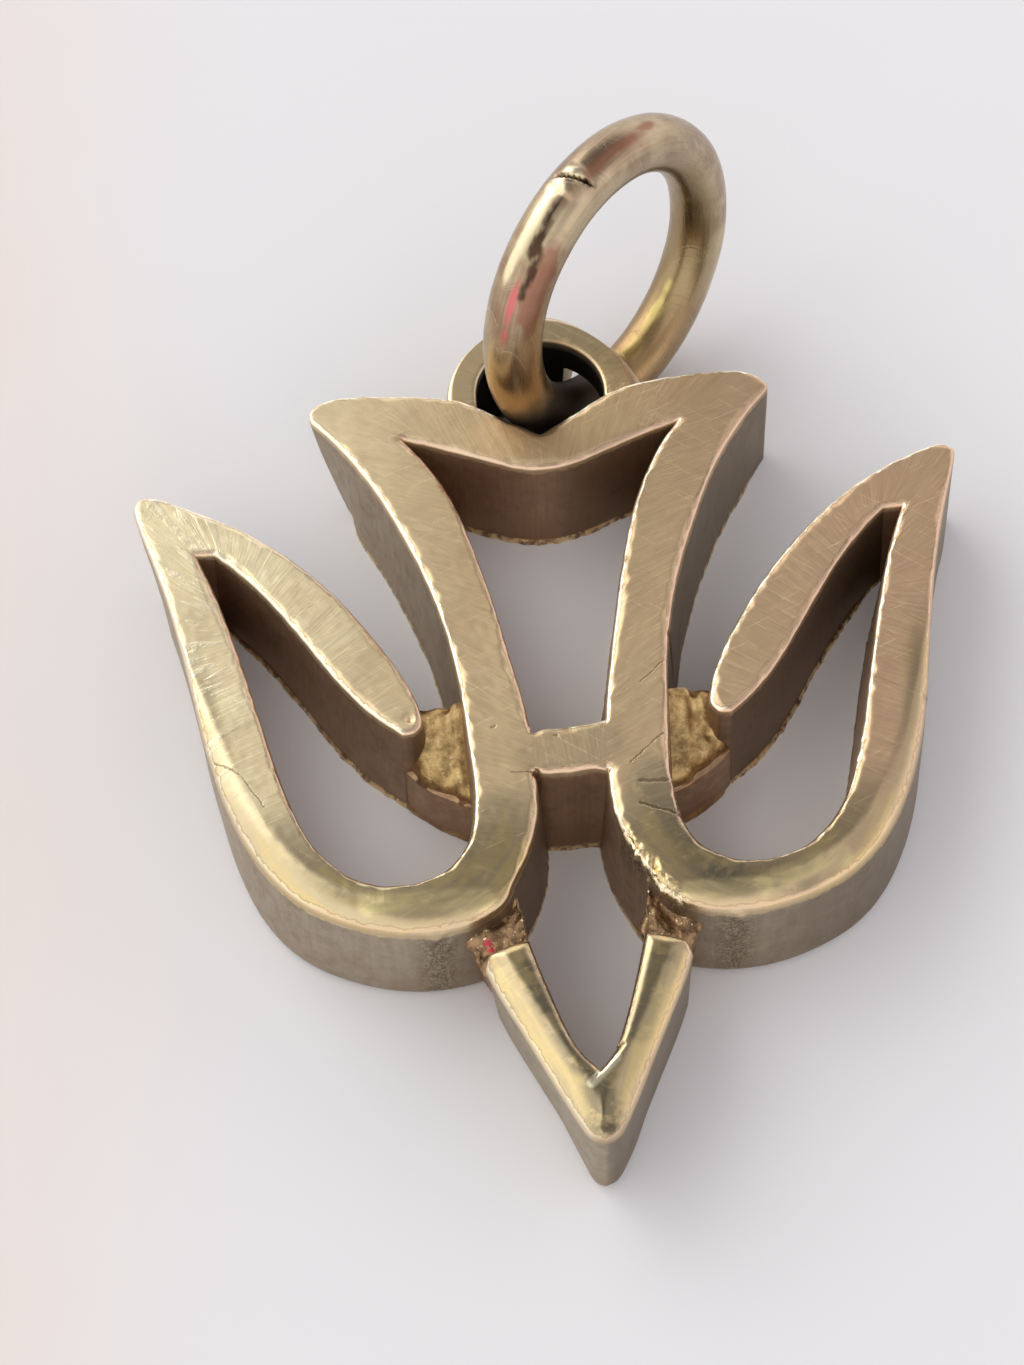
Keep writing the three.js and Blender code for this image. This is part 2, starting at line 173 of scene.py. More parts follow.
def edges_of(paths, spread):
    """The eight-number rows of each path of the right half, from the closed symmetric loop.

    Each path comes with three lists of (measured point, value) pairs, for wear, foot and dark.
    """
    right = [curve(path) for path, *_ in paths]
    loop = np.vstack([c[:-1] for c in right])
    end = right[-1][-1]
    both = np.vstack([loop, end[None], loop[:0:-1] * [-1, 1]])
    direction = outward(both)
    rows, start = [], 0
    for c, (_, *traits) in zip(right, paths):
        part = direction[start:start + len(c)]
        count = np.arange(len(c)) / PER_SPAN
        wear, foot, dark = (np.interp(count, *zip(*pairs)) for pairs in traits)
        rows.append(np.column_stack([c, part, wear, spread(c), foot, dark]))
        start += len(c) - 1
    return rows


def mirrored(edge):
    """The same edge on the left half: X changes its sign, in the place and in the direction."""
    return edge * [-1, 1, -1, 1, 1, 1, 1, 1]


def joined(*edges):
    """Edges in a row as one. Each starts with the point at which the one before it ends."""
    return np.vstack([edges[0]] + [e[1:] for e in edges[1:]])


def smoothstep(value, low, high):
    """0 up to low, 1 from high, 3 t^2 - 2 t^3 between. With high below low it falls instead."""
    t = np.clip((value - low) / (high - low), 0, 1)
    return t * t * (3 - 2 * t)


def unit(vectors):
    """Vectors divided by their lengths."""
    return vectors / np.maximum(np.linalg.norm(vectors, axis=-1, keepdims=True), 1e-9)


print("an edge row has", DARK + 1, "numbers")

# %% [markdown]
# The walls of the charm lean. On the bird they stand further out at the back, as a casting
# must come out of its mould, and on the beak they were filed in. The lists below say how
# wear, foot and darkness change along each edge, as pairs of a measured point and a value.

# %% Edges of the bird and of the beak
def bird_spread(c):
    """0.2 mm, but none at the tips, growing within 1.8 mm."""
    away = [np.hypot(c[:, 0] - x, c[:, 1] - y) for x, y in (WING_TIP, TAIL_CORNER)]
    return 0.2 * smoothstep(np.min(away, axis=0), 0, 1.8)


def beak_spread(c):
    """Outer walls lean in by 0.3 mm, by 0.1 mm at the tip, and inner walls stand straight."""
    outer = np.abs(c[:, 0]) > 0.42 * (c[:, 1] + 10)
    return outer * (-0.1 - 0.2 * smoothstep(np.abs(c[:, 0]), 0, 1.26))


EVEN = [(0, 0.07)]
tail_top, body_outer, hole_tip, vane_lower, vane_upper, wing_outer, tail_under = edges_of([
    (TAIL_TOP, EVEN, [(0, 0)], [(0, 0.3), (3, 0.1)]),
    (BODY_OUTER, [(0, 0.07), (7, 0.07), (9, 0.16), (12, 0.14), (14, 0.07)],
     [(0, 0), (1, 0.4), (5, 0.4), (7, 0.5), (17, 0.3)],
     [(0, 0.1), (4, 0.2), (6, 0.7), (8, 0.9), (17, 1)]),
    ([WING_HOLE_TIP, VANE_HOLE_TIP], EVEN, [(0, 0.3)], [(0, 1)]),
    (VANE_LOWER, EVEN, [(0, 0.3), (2, 1), (5, 1), (6, 0.9)], [(0, 1), (5, 0.8), (6, 0.7)]),
    (VANE_UPPER, EVEN, [(0, 0.9), (2, 0.4), (4, 0)], [(0, 0.7), (3, 0.4), (6, 0.1), (10, 0)]),
    (WING_OUTER, [(0, 0.07), (2, 0.09), (3, 0.18), (4, 0.34), (6, 0.5), (10, 0.5), (11, 0.3),
                  (12, 0.14), (14, 0.07)],
     [(0, 0), (2, -0.4), (4, -1), (10, -1), (11, 0), (12, 0.5), (21, 0.4)],
     [(0, 0), (10, 0), (11, 0.4), (12, 0.7), (16, 0.9), (21, 1)]),
    (TAIL_UNDER, EVEN, [(0, 0.4), (2, 1)], [(0, 1)])], bird_spread)
beak_outer, beak_arm_end, beak_inner = edges_of([
    (BEAK_OUTER, [(0, 0.42), (2, 0.5), (5, 0.44)], [(0, -1)], [(0, 0)]),
    (BEAK_ARM_END, [(0, 0.44), (1, 0.3), (3, 0.26)], [(0, -1), (3, 0)], [(0, 0), (3, 0.5)]),
    (BEAK_INNER, [(0, 0.26), (3, 0.2)], [(0, 0), (3, 0)], [(0, 0.5), (3, 0.7)])], beak_spread)
arm_middle = 2 * PER_SPAN
arm_outside = beak_arm_end[:arm_middle + 1]
arm_inside = beak_arm_end[arm_middle:]
print("edge rows:", [len(edge) for edge in (tail_top, body_outer, vane_lower, wing_outer)])

# %% [markdown]
# ## Uneven metal
# Nothing on a hand-finished casting is quite flat. A Displace modifier could roughen each
# piece, but it knows nothing of the next one, and the seams would open. So a seeded noise
# on a cubic lattice moves points by a few hundredths of a millimetre. All pieces read the
# same noise at the same places, and neighbours stay flush.

# %% Seeded noise
LATTICE = np.random.default_rng(7).uniform(-1, 1, (32, 32, 32))


def noise(points, size):
    """Value noise from -1 to 1: random numbers at lattice corners `size` mm apart, blended
    in each cell with the weights 3 t^2 - 2 t^3."""
    q = points / size + 500.0
    cell = np.floor(q).astype(int)
    f = q - cell
    f = f * f * (3 - 2 * f)
    total = 0
    for dx in (0, 1):
        for dy in (0, 1):
            for dz in (0, 1):
                weight = (np.abs(1 - dx - f[..., 0]) * np.abs(1 - dy - f[..., 1])
                          * np.abs(1 - dz - f[..., 2]))
                corner = LATTICE[(cell[..., 0] + dx) % 32, (cell[..., 1] + dy) % 32,
                                 (cell[..., 2] + dz) % 32]
                total = total + weight * corner
    return total


def layered(points, size, layers):
    """Noise with finer noise on it: each layer has half the size and half the height."""
    return sum(noise(points + 3.7 * k, size / 2 ** k) / 2 ** k for k in range(layers))


def flat_noise(xy, size, shift=0.0):
    """The same noise along a plane: every wall point above one another gets one value."""
    return noise(np.concatenate([xy, np.full(xy.shape[:-1] + (1,), shift)], axis=-1), size)


def dents(points, places):
    """Round dents: the sum of depth * exp(-(distance / radius)^2), distance seen from the front."""
    total = np.zeros(points.shape[:-1])
    for x, y, radius, depth in places:
        away = (points[..., 0] - x) ** 2 + (points[..., 1] - y) ** 2
        total = total + depth * np.exp(-away / radius ** 2)
    return total


print("lattice mean", round(float(LATTICE.mean()), 4))

# %% [markdown]
# ## Wear on the front
# A file broke the edges into narrow slanting facets of uneven width, and tumbling rounded
# them, most of all round the wing bottoms. A Bevel modifier gives one width to all edges.
# Here the front's height depends on the distance to the nearest edge and on that edge's
# wear. All strands read the same outline, so they meet without a step.

# %% The outline as segments
def pieces_of(edge):
    """An edge as segments: start, step, and the wear at both ends."""
    return np.column_stack([edge[:-1, POINT], np.diff(edge[:, POINT], axis=0),
                            edge[:-1, WEAR], edge[1:, WEAR]])


def facing(points, towards, wear, spread=0.2, foot=0.0, dark=1.0):
    """Edge rows with outward directions square to the curve, on the side of `towards`."""
    c = curve(points)
    along = np.gradient(c, axis=0)
    side = unit(np.column_stack([along[:, 1], -along[:, 0]]))
    side *= np.sign(np.sum(side * towards, axis=1, keepdims=True))
    traits = np.broadcast_to([wear, spread, foot, dark], (len(c), 4))
    return np.column_stack([c, side, traits])


bar_upper = facing(BAR_UPPER, (0, 1), 0.07)
bar_lower = facing(BAR_LOWER, (0, -1), 0.07, spread=0.4, foot=0.5)
half_outline = [tail_top, body_outer, hole_tip, vane_lower, vane_upper, wing_outer, tail_under]
bird_segments = np.vstack([pieces_of(e) for edge in half_outline for e in (edge, mirrored(edge))])
# The body's inner edges end at the crossbar, so their segments beside it are left out
under_bar = (np.abs(bird_segments[:, 1]) < 0.68) & (np.abs(bird_segments[:, 0]) < 1.4)
bar_segments = np.vstack([pieces_of(bar_upper), pieces_of(bar_lower)])
bar_segments = bar_segments[np.abs(bar_segments[:, 0]) < 0.93]
bird_segments = np.vstack([bird_segments[~under_bar], bar_segments])
beak_segments = np.vstack([pieces_of(e) for edge in (beak_outer, beak_arm_end, beak_inner)
                           for e in (edge, mirrored(edge))])
print("outline segments:", len(bird_segments), "beak segments:", len(beak_segments))


# %% Height lost near the edges
FACET, FACET_SLOPE = 0.15, 0.5
EDGE_ROUND = 0.1
NEARBY, FAR = 0.9, 9.0
BATCH = 3000


def wear_depth(points, segments):
    """(height lost, distance to the nearest edge, wear there) at each point.

    At distance d from a segment with wear r, the edge itself is a quarter circle of radius
    q = EDGE_ROUND or less, q - sqrt(q^2 - (q - d)^2) for d < q. More wear, h = r - q, adds
    the arch 0.9 h (1 - d / 2 h)^2 for d < 2 h. The largest loss over all segments counts.
    The facet adds slope * (w - d) for d < w, with a width w that wanders along the edge.
    The points are taken in batches, each with only the segments that are nearby.
    """
    loss, wear = np.zeros(len(points)), np.zeros(len(points))
    nearest = np.full(len(points), FAR)
    for start in range(0, len(points), BATCH):
        part = slice(start, start + BATCH)
        p = points[part]
        low, high = p.min(0) - NEARBY, p.max(0) + NEARBY
        near = segments[np.all((segments[:, :2] > low) & (segments[:, :2] < high), axis=1)]
        if not len(near):
            continue
        a, step = near[:, :2], near[:, 2:4]
        away = p[:, None] - a[None]
        along = np.clip(np.sum(away * step, -1) / np.sum(step * step, -1), 0, 1)
        d = np.linalg.norm(away - along[..., None] * step, axis=-1)
        r = near[:, 4] + along * (near[:, 5] - near[:, 4])
        q = np.minimum(r, EDGE_ROUND)
        h = r - q
        inside = q - np.minimum(d, q)
        arch = 0.9 * h * np.clip(1 - d / np.maximum(2 * h, 1e-6), 0, 1) ** 2
        loss[part] = np.max(q - np.sqrt(np.maximum(q * q - inside * inside, 0)) + arch, axis=1)
        closest = np.argmin(d, axis=1)[:, None]
        nearest[part] = np.take_along_axis(d, closest, axis=1)[:, 0]
        wear[part] = np.take_along_axis(r, closest, axis=1)[:, 0]
    width = FACET * (0.95 + 0.55 * flat_noise(points, 1.3) + 0.4 * flat_noise(points, 0.27, 4.0))
    width = np.maximum(width, 0.03) * (1 - smoothstep(wear, 0.12, 0.3))
    return loss + FACET_SLOPE * np.maximum(width - nearest, 0), nearest, wear


wing_bottom = np.array([[4.2, -4.8]])
print("lost at a wing bottom:", wear_depth(wing_bottom, bird_segments)[0].round(3), "mm")

# %% [markdown]
# ## Skins
# Each piece is one closed skin on a grid. Rows are stations along the piece, columns go
# round its section. Extruding the flat outline would be quicker, but its front would be
# one large face, which can't be worn or dented, and the small even faces of a grid can.
# The UV map is in millimetres, u along the piece and v round its section, so brush marks
# can run across a strand wherever it turns.

# %% Faces of a grid
def grid_faces(n, m, closed):
    """Two triangles for each cell of n rows and m columns, as point numbers and UV numbers.

    Columns join round, and rows only if closed. A UV row has m + 1 places, because v has two
    values where the last column meets the first.
    """
    i, j = np.meshgrid(np.arange(n if closed else n - 1), np.arange(m), indexing="ij")
    point = lambda di, dj: (((i + di) % n) * m + (j + dj) % m).ravel()
    place = lambda di, dj: ((i + di) * (m + 1) + j + dj).ravel()
    found = []
    for number in (point, place):
        a, b, c, d = number(0, 0), number(0, 1), number(1, 1), number(1, 0)
        found.append(np.vstack([np.column_stack([a, b, c]), np.column_stack([a, c, d])]))
    return found


print("a grid of 3 rows and 4 columns has", len(grid_faces(3, 4, False)[0]), "triangles")


# %% Ends of a skin
def welded(points, ring):
    """For each point of an end row, the first one of that row at the same spot. A row that
    shrinks to a line so becomes a rounded end."""
    _, first, back = np.unique(np.round(points[ring], 5), axis=0,
                               return_index=True, return_inverse=True)
    return ring[first[back.ravel()]]


def capped(net, row, m, u):
    """Closes an open end row with a fan of triangles round a new point, the row's mean."""
    ring, spots = np.arange(row * m, (row + 1) * m), np.arange(row * (m + 1), row * (m + 1) + m)
    net["points"] = np.vstack([net["points"], net["points"][ring].mean(0, keepdims=True)])
    net["uv"] = np.vstack([net["uv"], [[u, 0.0]]])
    for key, value in net["values"].items():
        net["values"][key] = np.append(value, value[ring].mean())
    for key, middle, this, following in (
            ("faces", len(net["points"]) - 1, ring, np.roll(ring, -1)),
            ("places", len(net["uv"]) - 1, spots, spots + 1)):
        pair = [following, this] if row == 0 else [this, following]
        net[key] = np.vstack([net[key], np.column_stack([np.full(m, middle)] + pair)])


print("a square's corners, the last two alike, weld to",
      welded(np.array([[0, 0, 0], [1, 0, 0], [1, 1, 0], [1, 1, 0]]), np.arange(4)))


# %% Arrays to a mesh object
SHARP_FROM = 48


def mesh_object(name, points, faces, uv, values):
    """A Blender object from triangles, one UV place per corner and named values per point."""
    mesh = bpy.data.meshes.new(name)
    mesh.vertices.add(len(points))
    mesh.vertices.foreach_set("co", (points * MM).ravel())
    mesh.loops.add(faces.size)
    mesh.loops.foreach_set("vertex_index", faces.ravel().astype(np.int32))
    mesh.polygons.add(len(faces))
    mesh.polygons.foreach_set("loop_start", np.arange(0, faces.size, 3, dtype=np.int32))
    layer = mesh.uv_layers.new(name="strand")
    layer.data.foreach_set("uv", uv.ravel())
    for key, value in values.items():
        mesh.attributes.new(key, "FLOAT", "POINT").data.foreach_set("value", value)
    mesh.update(calc_edges=True)
    mesh.validate()
    mesh.shade_smooth()
    mesh.set_sharp_from_angle(angle=radians(SHARP_FROM))
    piece = bpy.data.objects.new(name, mesh)
    bpy.context.scene.collection.objects.link(piece)
    print(name, len(points), "points", len(faces), "triangles")
    return piece


print("edges that turn more than", SHARP_FROM, "degrees stay sharp")


# %% A closed skin
def skin(name, rows, u, v, marks, ends=("cap", "cap"), closed=False):
    """A mesh object from rows (stations x columns x 3, in mm).

    u is one number per row, and v one per column and one more, as the last column joins the
    first again. marks are named numbers per point. closed joins the last row to the first.
    The sum of p0 . (p1 x p2) over all triangles is six times the volume. Where it is below 0
    the faces point inward and are turned round.
    """
    n, m, _ = rows.shape
    u_rows = np.append(u, u[-1] + (u[-1] - u[-2])) if closed else np.asarray(u, float)
    v_rows = np.broadcast_to(v, (len(u_rows), m + 1))
    uv = np.stack([np.broadcast_to(u_rows[:, None], v_rows.shape), v_rows], axis=-1)
    faces, places = grid_faces(n, m, closed)
    net = {"points": rows.reshape(-1, 3), "faces": faces, "places": places,
           "uv": uv.reshape(-1, 2), "values": {
               key: np.broadcast_to(mark, (n, m)).ravel().astype(float)
               for key, mark in marks.items()}}
    for end, row in zip(ends, (0, n - 1)):
        if end == "cap" and not closed:
            capped(net, row, m, u_rows[row])
    weld = np.arange(len(net["points"]))
    for end, row in zip(ends, (0, n - 1)):
        if end == "pole":
            ring = np.arange(row * m, (row + 1) * m)
            weld[ring] = welded(net["points"], ring)
    faces = weld[net["faces"]]
    first, second, third = faces.T
    real = (first != second) & (second != third) & (third != first)
    places = net["places"][real]
    used, faces = np.unique(faces[real], return_inverse=True)
    faces = faces.reshape(-1, 3)
    points = net["points"][used]
    p0, p1, p2 = (points[faces[:, k]] for k in range(3))
    if np.einsum("ij,ij->", p0, np.cross(p1, p2)) < 0:
        faces, places = faces[:, ::-1], places[:, ::-1]
    values = {key: value[used] for key, value in net["values"].items()}
    return mesh_object(name, points, faces, net["uv"][places.ravel()], values)


print(skin.__doc__)

# %% [markdown]
# ## Strands
# A strand is a ladder: each station is a rung between two facing edge points. Its section
# goes up one wall, over the front and down the other wall. Rungs are chosen because they
# turn with the strand, as the real polishing marks do. The foot of a wall is either
# rounded or ends in a thin jagged ledge, where metal ran between the halves of the mould.

# %% Facing points
STEP = 0.065


def length_along(path):
    """The distance walked along a path up to each of its points."""
    return np.append(0, np.cumsum(np.linalg.norm(np.diff(path, axis=0), axis=1)))


def rungs(edge_a, edge_b, anchors):
    """Facing points of two edges, STEP apart along the strand.

    anchors are (point number on a, point number on b), counted in measured points, that face
    each other. Between them both edges are walked at an even pace.
    """
    walks = [length_along(edge[:, POINT]) for edge in (edge_a, edge_b)]
    at = [walk[np.array(side) * PER_SPAN] for walk, side in zip(walks, zip(*anchors))]
    mean = (at[0] + at[1]) / 2
    u = np.linspace(0, mean[-1], int(round(mean[-1] / STEP)) + 1)
    found = []
    for e, walk, own in zip((edge_a, edge_b), walks, at):
        s = np.interp(u, mean, own)
        found.append(np.column_stack([np.interp(s, walk, e[:, k]) for k in range(e.shape[1])]))
    return u, found[0], found[1]


print("a corner of two sides of 1 mm is", length_along([[0, 0], [1, 0], [1, 1]])[-1], "mm long")


# %% Wall of a strand
LOW_LEVELS = np.array([0, 0.03, 0.07, 0.11, 0.15, 0.19, 0.25, 0.34])
HIGH_LEVELS = np.array([0.12, 0.26, 0.42, 0.58, 0.74, 0.88, 0.96])


def wall_of(side, top, front):
    """A wall's points from the foot up to the height `top`, with its heights and ledge mark.

    At height z it stands spread * (1 - z / front) out. A ledge adds a jagged length below
    0.15 mm, and a rounded foot takes off a quarter circle of 0.3 mm.
    """
    high = LOW_LEVELS[-1] + (top[:, None] - LOW_LEVELS[-1]) * HIGH_LEVELS
    z = np.hstack([np.tile(LOW_LEVELS, (len(side), 1)), high])
    jagged = (0.06 + 0.05 * flat_noise(side[:, POINT], 0.6)
              + 0.04 * flat_noise(side[:, POINT], 0.15, 2.0))
    ledge = np.maximum(side[:, FOOT], 0)[:, None] * (1 - smoothstep(z, 0.1, 0.2))
    rounded = np.maximum(-side[:, FOOT], 0)[:, None]
    lower = np.clip(1 - z / 0.3, 0, 1)
    length = np.linalg.norm(side[:, OUT], axis=1)[:, None]
    foot = ledge * jagged[:, None] - rounded * 0.22 * (1 - np.sqrt(1 - lower * lower))
    out = side[:, SPREAD][:, None] * (1 - z / front) + foot / length
    xy = side[:, None, POINT] + side[:, None, OUT] * out[..., None]
    return np.concatenate([xy, z[..., None]], axis=-1), z, ledge


print("columns on each wall:", len(LOW_LEVELS) + len(HIGH_LEVELS))


# %% Front of a strand
NEAR = np.array([0, 0.04, 0.1, 0.19, 0.3, 0.43, 0.58, 0.77, 1.0])
ACROSS = 15


def front_of(a, b, segments, front, sink, across):
    """The front between edges a and b: the distance from a, place, height, distance to the
    nearest edge and wear of each point.

    Columns stand close together beside both edges, at the shares NEAR of 1.5 times the wear
    (at least 0.27 mm, at most 0.44 of the width), and evenly between.
    """
    width = np.linalg.norm(b[:, POINT] - a[:, POINT], axis=1)[:, None]
    reach_a, reach_b = (np.minimum(np.maximum(1.5 * side[:, WEAR, None], 0.27), width * 0.44)
                        for side in (a, b))
    near_a, near_b = reach_a * NEAR, width - reach_b * NEAR
    share = np.linspace(0, 1, across + 2)[1:-1]
    between = near_a[:, -1:] + (near_b[:, -1:] - near_a[:, -1:]) * share
    d = np.hstack([near_a, between, near_b[:, ::-1]])
    t = d / np.maximum(width, 1e-9)
    xy = a[:, None, POINT] + (b - a)[:, None, POINT] * t[..., None]
    found = wear_depth(xy.reshape(-1, 2), segments)
    loss, distance, wear = (value.reshape(len(a), -1) for value in found)
    z = front - loss if sink is None else front - loss - sink(t)
    return dict(d=d, width=width, xy=xy, z=z, distance=distance, wear=wear)


print("columns on a front:", 2 * len(NEAR) + ACROSS)


# %% Marks for the finish
def strand_marks(put, top, a, b, walls, outs, depth):
    """What the finishes read at each point.

    wall is 1 off the front. rim is the distance to the edge, below 0 on walls. ledge and dark
    are the edges' own. sun is the outward direction . (-0.8, 0.6), so 1 toward the window.
    dome is 1 where the front is rounded and on the lower half of the bird.
    """
    (_, levels_a, ledge_a), (_, levels_b, ledge_b) = walls
    below_a, below_b = top["z"][:, :1] - levels_a, top["z"][:, -1:] - levels_b
    middle = 0.5 * (a[:, DARK] + b[:, DARK])[:, None]
    sun_a, sun_b = (out[..., 0] * -0.8 + out[..., 1] * 0.6 for out in outs)
    columns = top["d"].shape[1]
    first_half = (np.arange(columns) < columns // 2)[None]
    rounded = smoothstep(top["wear"], 0.12, 0.3) * smoothstep(top["distance"], 0.75, 0.3)
    low_half = smoothstep(-top["xy"][..., 1], 0.5, 3.0)
    return {
        "wall": put(1 - smoothstep(top["distance"], 0.0, 0.03), 1.0, 1.0, 1.0),
        "rim": put(np.minimum(top["distance"], 1.0), -np.minimum(below_a, 1.0),
                   -np.minimum(below_b, 1.0), -1.0),
        "ledge": put(0.0, ledge_a, ledge_b),
        "dark": put(middle, a[:, DARK:], b[:, DARK:], middle),
        "sun": put(np.where(first_half, sun_a, sun_b), sun_a, sun_b),
        "dome": put(np.maximum(rounded, low_half), 0.0, 0.0),
        "depth": depth}


print(strand_marks.__doc__)


# %% Rows of a strand
UNDERSIDE = np.array([0.25, 0.5, 0.75])[:, None]
EDGE_GAP, FLOOR_STEP = 0.1, 0.4


def strand_rows(edge_a, edge_b, anchors, segments, front=FRONT, sink=None, across=ACROSS):
    """Rows of a strand, with the direction in which each point may move, and marks per point.

    The section is wall a, front, wall b and floor. A point may move out from a wall, up from
    the front, and both ways within 0.12 mm of the edge. sink gives the height lost at each
    share of the way across, for metal that slopes. v is 0 at edge a and grows over the front.
    """
    u, a, b = rungs(edge_a, edge_b, anchors)
    top = front_of(a, b, segments, front, sink, across)
    walls = [wall_of(a, top["z"][:, 0], front), wall_of(b, top["z"][:, -1], front)]
    (wall_a, levels_a, _), (wall_b, levels_b, _) = walls
    bottom = wall_b[:, :1] + (wall_a[:, :1] - wall_b[:, :1]) * UNDERSIDE
    front_rows = np.concatenate([top["xy"], top["z"][..., None]], axis=-1)
    rows = np.concatenate([wall_a, front_rows, wall_b[:, ::-1], bottom], axis=1)
    k, f, m = levels_a.shape[1], front_rows.shape[1], rows.shape[1]
    on_a, on_front, on_b, on_floor = (slice(0, k), slice(k, k + f), slice(k + f, 2 * k + f),
                                      slice(2 * k + f, m))
    out_a, out_b = unit(a[:, OUT])[:, None], unit(b[:, OUT])[:, None]
    up = np.clip(top["distance"] / 0.12, 0, 1)
    nearer = np.where((np.arange(f) < f // 2)[None, :, None], out_a, out_b)
    lift = np.zeros(rows.shape)
    lift[:, on_a, :2] = out_a
    lift[:, on_b, :2] = out_b
    lift[:, on_front, :2] = nearer * (1 - up)[..., None]
    lift[:, on_front, 2] = up

    def put(front_value, value_a, value_b, floor_value=0.0):
        """One number per point, from those of the front, both walls and the floor."""
        whole = np.zeros(rows.shape[:2])
        whole[:, on_a], whole[:, on_front] = value_a, front_value
        whole[:, on_b], whole[:, on_floor] = np.atleast_2d(value_b)[:, ::-1], floor_value
        return whole

    depth = np.clip(1 - rows[..., 2] / front, 0, 1)
    v = np.zeros((len(u), m + 1))
    v[:, on_a] = -(levels_a[:, -1:] - levels_a) - EDGE_GAP
    v[:, on_front] = top["d"]
    v[:, on_b] = top["width"] + EDGE_GAP + (levels_b[:, -1:] - levels_b)[:, ::-1]
    v[:, on_floor.start:] = (v[:, on_floor.start - 1:on_floor.start]
                             + np.arange(1, m - on_floor.start + 2) * FLOOR_STEP)
    return dict(rows=rows, u=u, v=v, lift=unit(lift), front=on_front,
                marks=strand_marks(put, top, a, b, walls, (out_a, out_b), depth))


print("columns of a section:", 2 * (len(LOW_LEVELS) + len(HIGH_LEVELS) + len(NEAR)) + ACROSS
      + len(UNDERSIDE))

# %% [markdown]
# ## Marks of use
# Dents and pits are listed by place, radius and depth, as read from the photo: porosity on
# the low curves of the wings, nicks along edges, and crumbs beside the beak. A bump map
# could fake them, but a nick shows in the outline too, so the points themselves move.

# %% Small damage, seen from the front
PITS = [(-3.93, 1.15, 0.1, 0.1), (0.07, -10.35, 0.1, 0.05), (9.07, 0.82, 0.06, 0.05),
        (7.16, -0.96, 0.06, 0.05), (7.33, -0.39, 0.06, 0.05), (2.87, 3.2, 0.08, 0.07),
        (-0.9, -0.66, 0.1, 0.1), (3.55, 0.75, 0.14, 0.12)]


def crumbs(rows):
    """1 near the broken edge below the crossbar on the right, which runs down to the beak, and
    in the porous metal of the walls beside the beak."""
    start, step = np.array([1.15, -2.7]), np.array([1.15, -1.9])
    p = rows[..., :2] - start
    share = np.clip(p @ step / (step @ step), 0, 1)
    away = np.linalg.norm(p - share[..., None] * step, axis=-1)
    broken = (1 - smoothstep(away, 0.1, 0.3)) * smoothstep(rows[..., 2], 1.8, 2.8)
    porous = sum(np.exp(-((rows[..., 0] - x) / 0.45) ** 2 - ((rows[..., 1] + 4.85) / 0.5) ** 2)
                 for x in (-3.6, 3.7))
    return np.maximum(broken, porous * smoothstep(2.9 - rows[..., 2], 0.0, 0.4))


def unevenness(rows):
    """Movement in mm along each point's lift: slow waves, fine grain, crumbs and the dents."""
    slow = 0.016 * noise(rows * [1, 1, 0.6], 2.1) + 0.008 * noise(rows + 11, 0.8)
    fine = 0.003 * noise(rows + 5, 0.17) + 0.09 * crumbs(rows) * layered(rows + 1, 0.2, 2)
    return slow + fine - dents(rows, PITS)


print("dents:", len(PITS))


# %% Rounded tips
# Tips: place, the direction inward, half the corner's angle in degrees, depth of the round
# part in mm, and how far the tip is cut under toward the back, with its direction and reach
TIPS = [((-11.0, 8.35), (0.895, -0.446), 41.5, 0.36, 0.92, (0.67, -0.74), 2.6),
        ((-6.25, 10.85), (0.997, -0.082), 45.7, 0.5, 1.0, (0.81, -0.59), 2.8),
        ((11.0, 8.35), (-0.895, -0.446), 41.5, 0.32, 0.0, (-0.67, -0.74), 2.0),
        ((6.25, 10.85), (-0.997, -0.082), 45.7, 0.3, 0.0, (-0.81, -0.59), 2.0)]


def blunted(rows):
    """Corners of the outline made round and cut under.

    Seen from a point at the given depth behind a corner, its two sides stand at the angles
    +-f0, f0 = 90 degrees - half the corner's angle. Between them points at the angle f move in
    to cos(f0 - |f|) of their distance, which turns the corner into an arc. Lower points also
    move inward by up to `under` (1 - z / front)^1.3, fading out with the distance.
    """
    moved = rows.copy()
    low = np.clip(1 - rows[..., 2] / FRONT, 0, 1) ** 1.3
    for tip, inward, half, depth, under, way, reach in TIPS:
        centre = np.array(tip) + depth * np.array(inward)
        away = moved[..., :2] - centre
        f = np.arccos(np.clip(unit(away) @ -np.array(inward), -1, 1))
        scale = np.cos(np.maximum(radians(90 - half) - f, 0))
        from_tip = np.hypot(rows[..., 0] - tip[0], rows[..., 1] - tip[1])
        amount = under * low * (1 - smoothstep(from_tip, 0.0, reach))
        moved[..., :2] = centre + away * scale[..., None] + amount[..., None] * way
    return moved


print("tips:", len(TIPS))


# %% Worn piece on its body
WORN_FROM = 0.5


def worn(shape, extra=0):
    """The rows moved by the unevenness, less at the foot so that the piece stands flat."""
    keep = smoothstep(shape["rows"][..., 2], 0.0, WORN_FROM)
    move = (unevenness(shape["rows"]) + extra) * keep
    return blunted(shape["rows"] + shape["lift"] * move[..., None])


def finish(shape, name, node, ends=("cap", "cap"), extra=0):
    """A worn piece that moves with the pendant and stands in for the CAD node."""
    marks = dict(shape["marks"], rough=crumbs(shape["rows"]))
    piece = skin(name, worn(shape, extra), shape["u"], shape["v"], marks, ends)
    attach(piece, "pendant")
    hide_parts(node)
    return piece


print("a piece keeps its foot flat and moves fully from", WORN_FROM, "mm up")

# %% [markdown]
# ## Wings
# Each wing strand starts at the tail's corner, runs down the body, turns round the wing's
# bottom and climbs to the wing's tip. On the real charm it is one bar, so it is one sweep
# here, and its brush marks turn with it. The anchors pair points of its two edges. The left
# wing's outer wall stands nearly upright, a little steeper than the right one's.

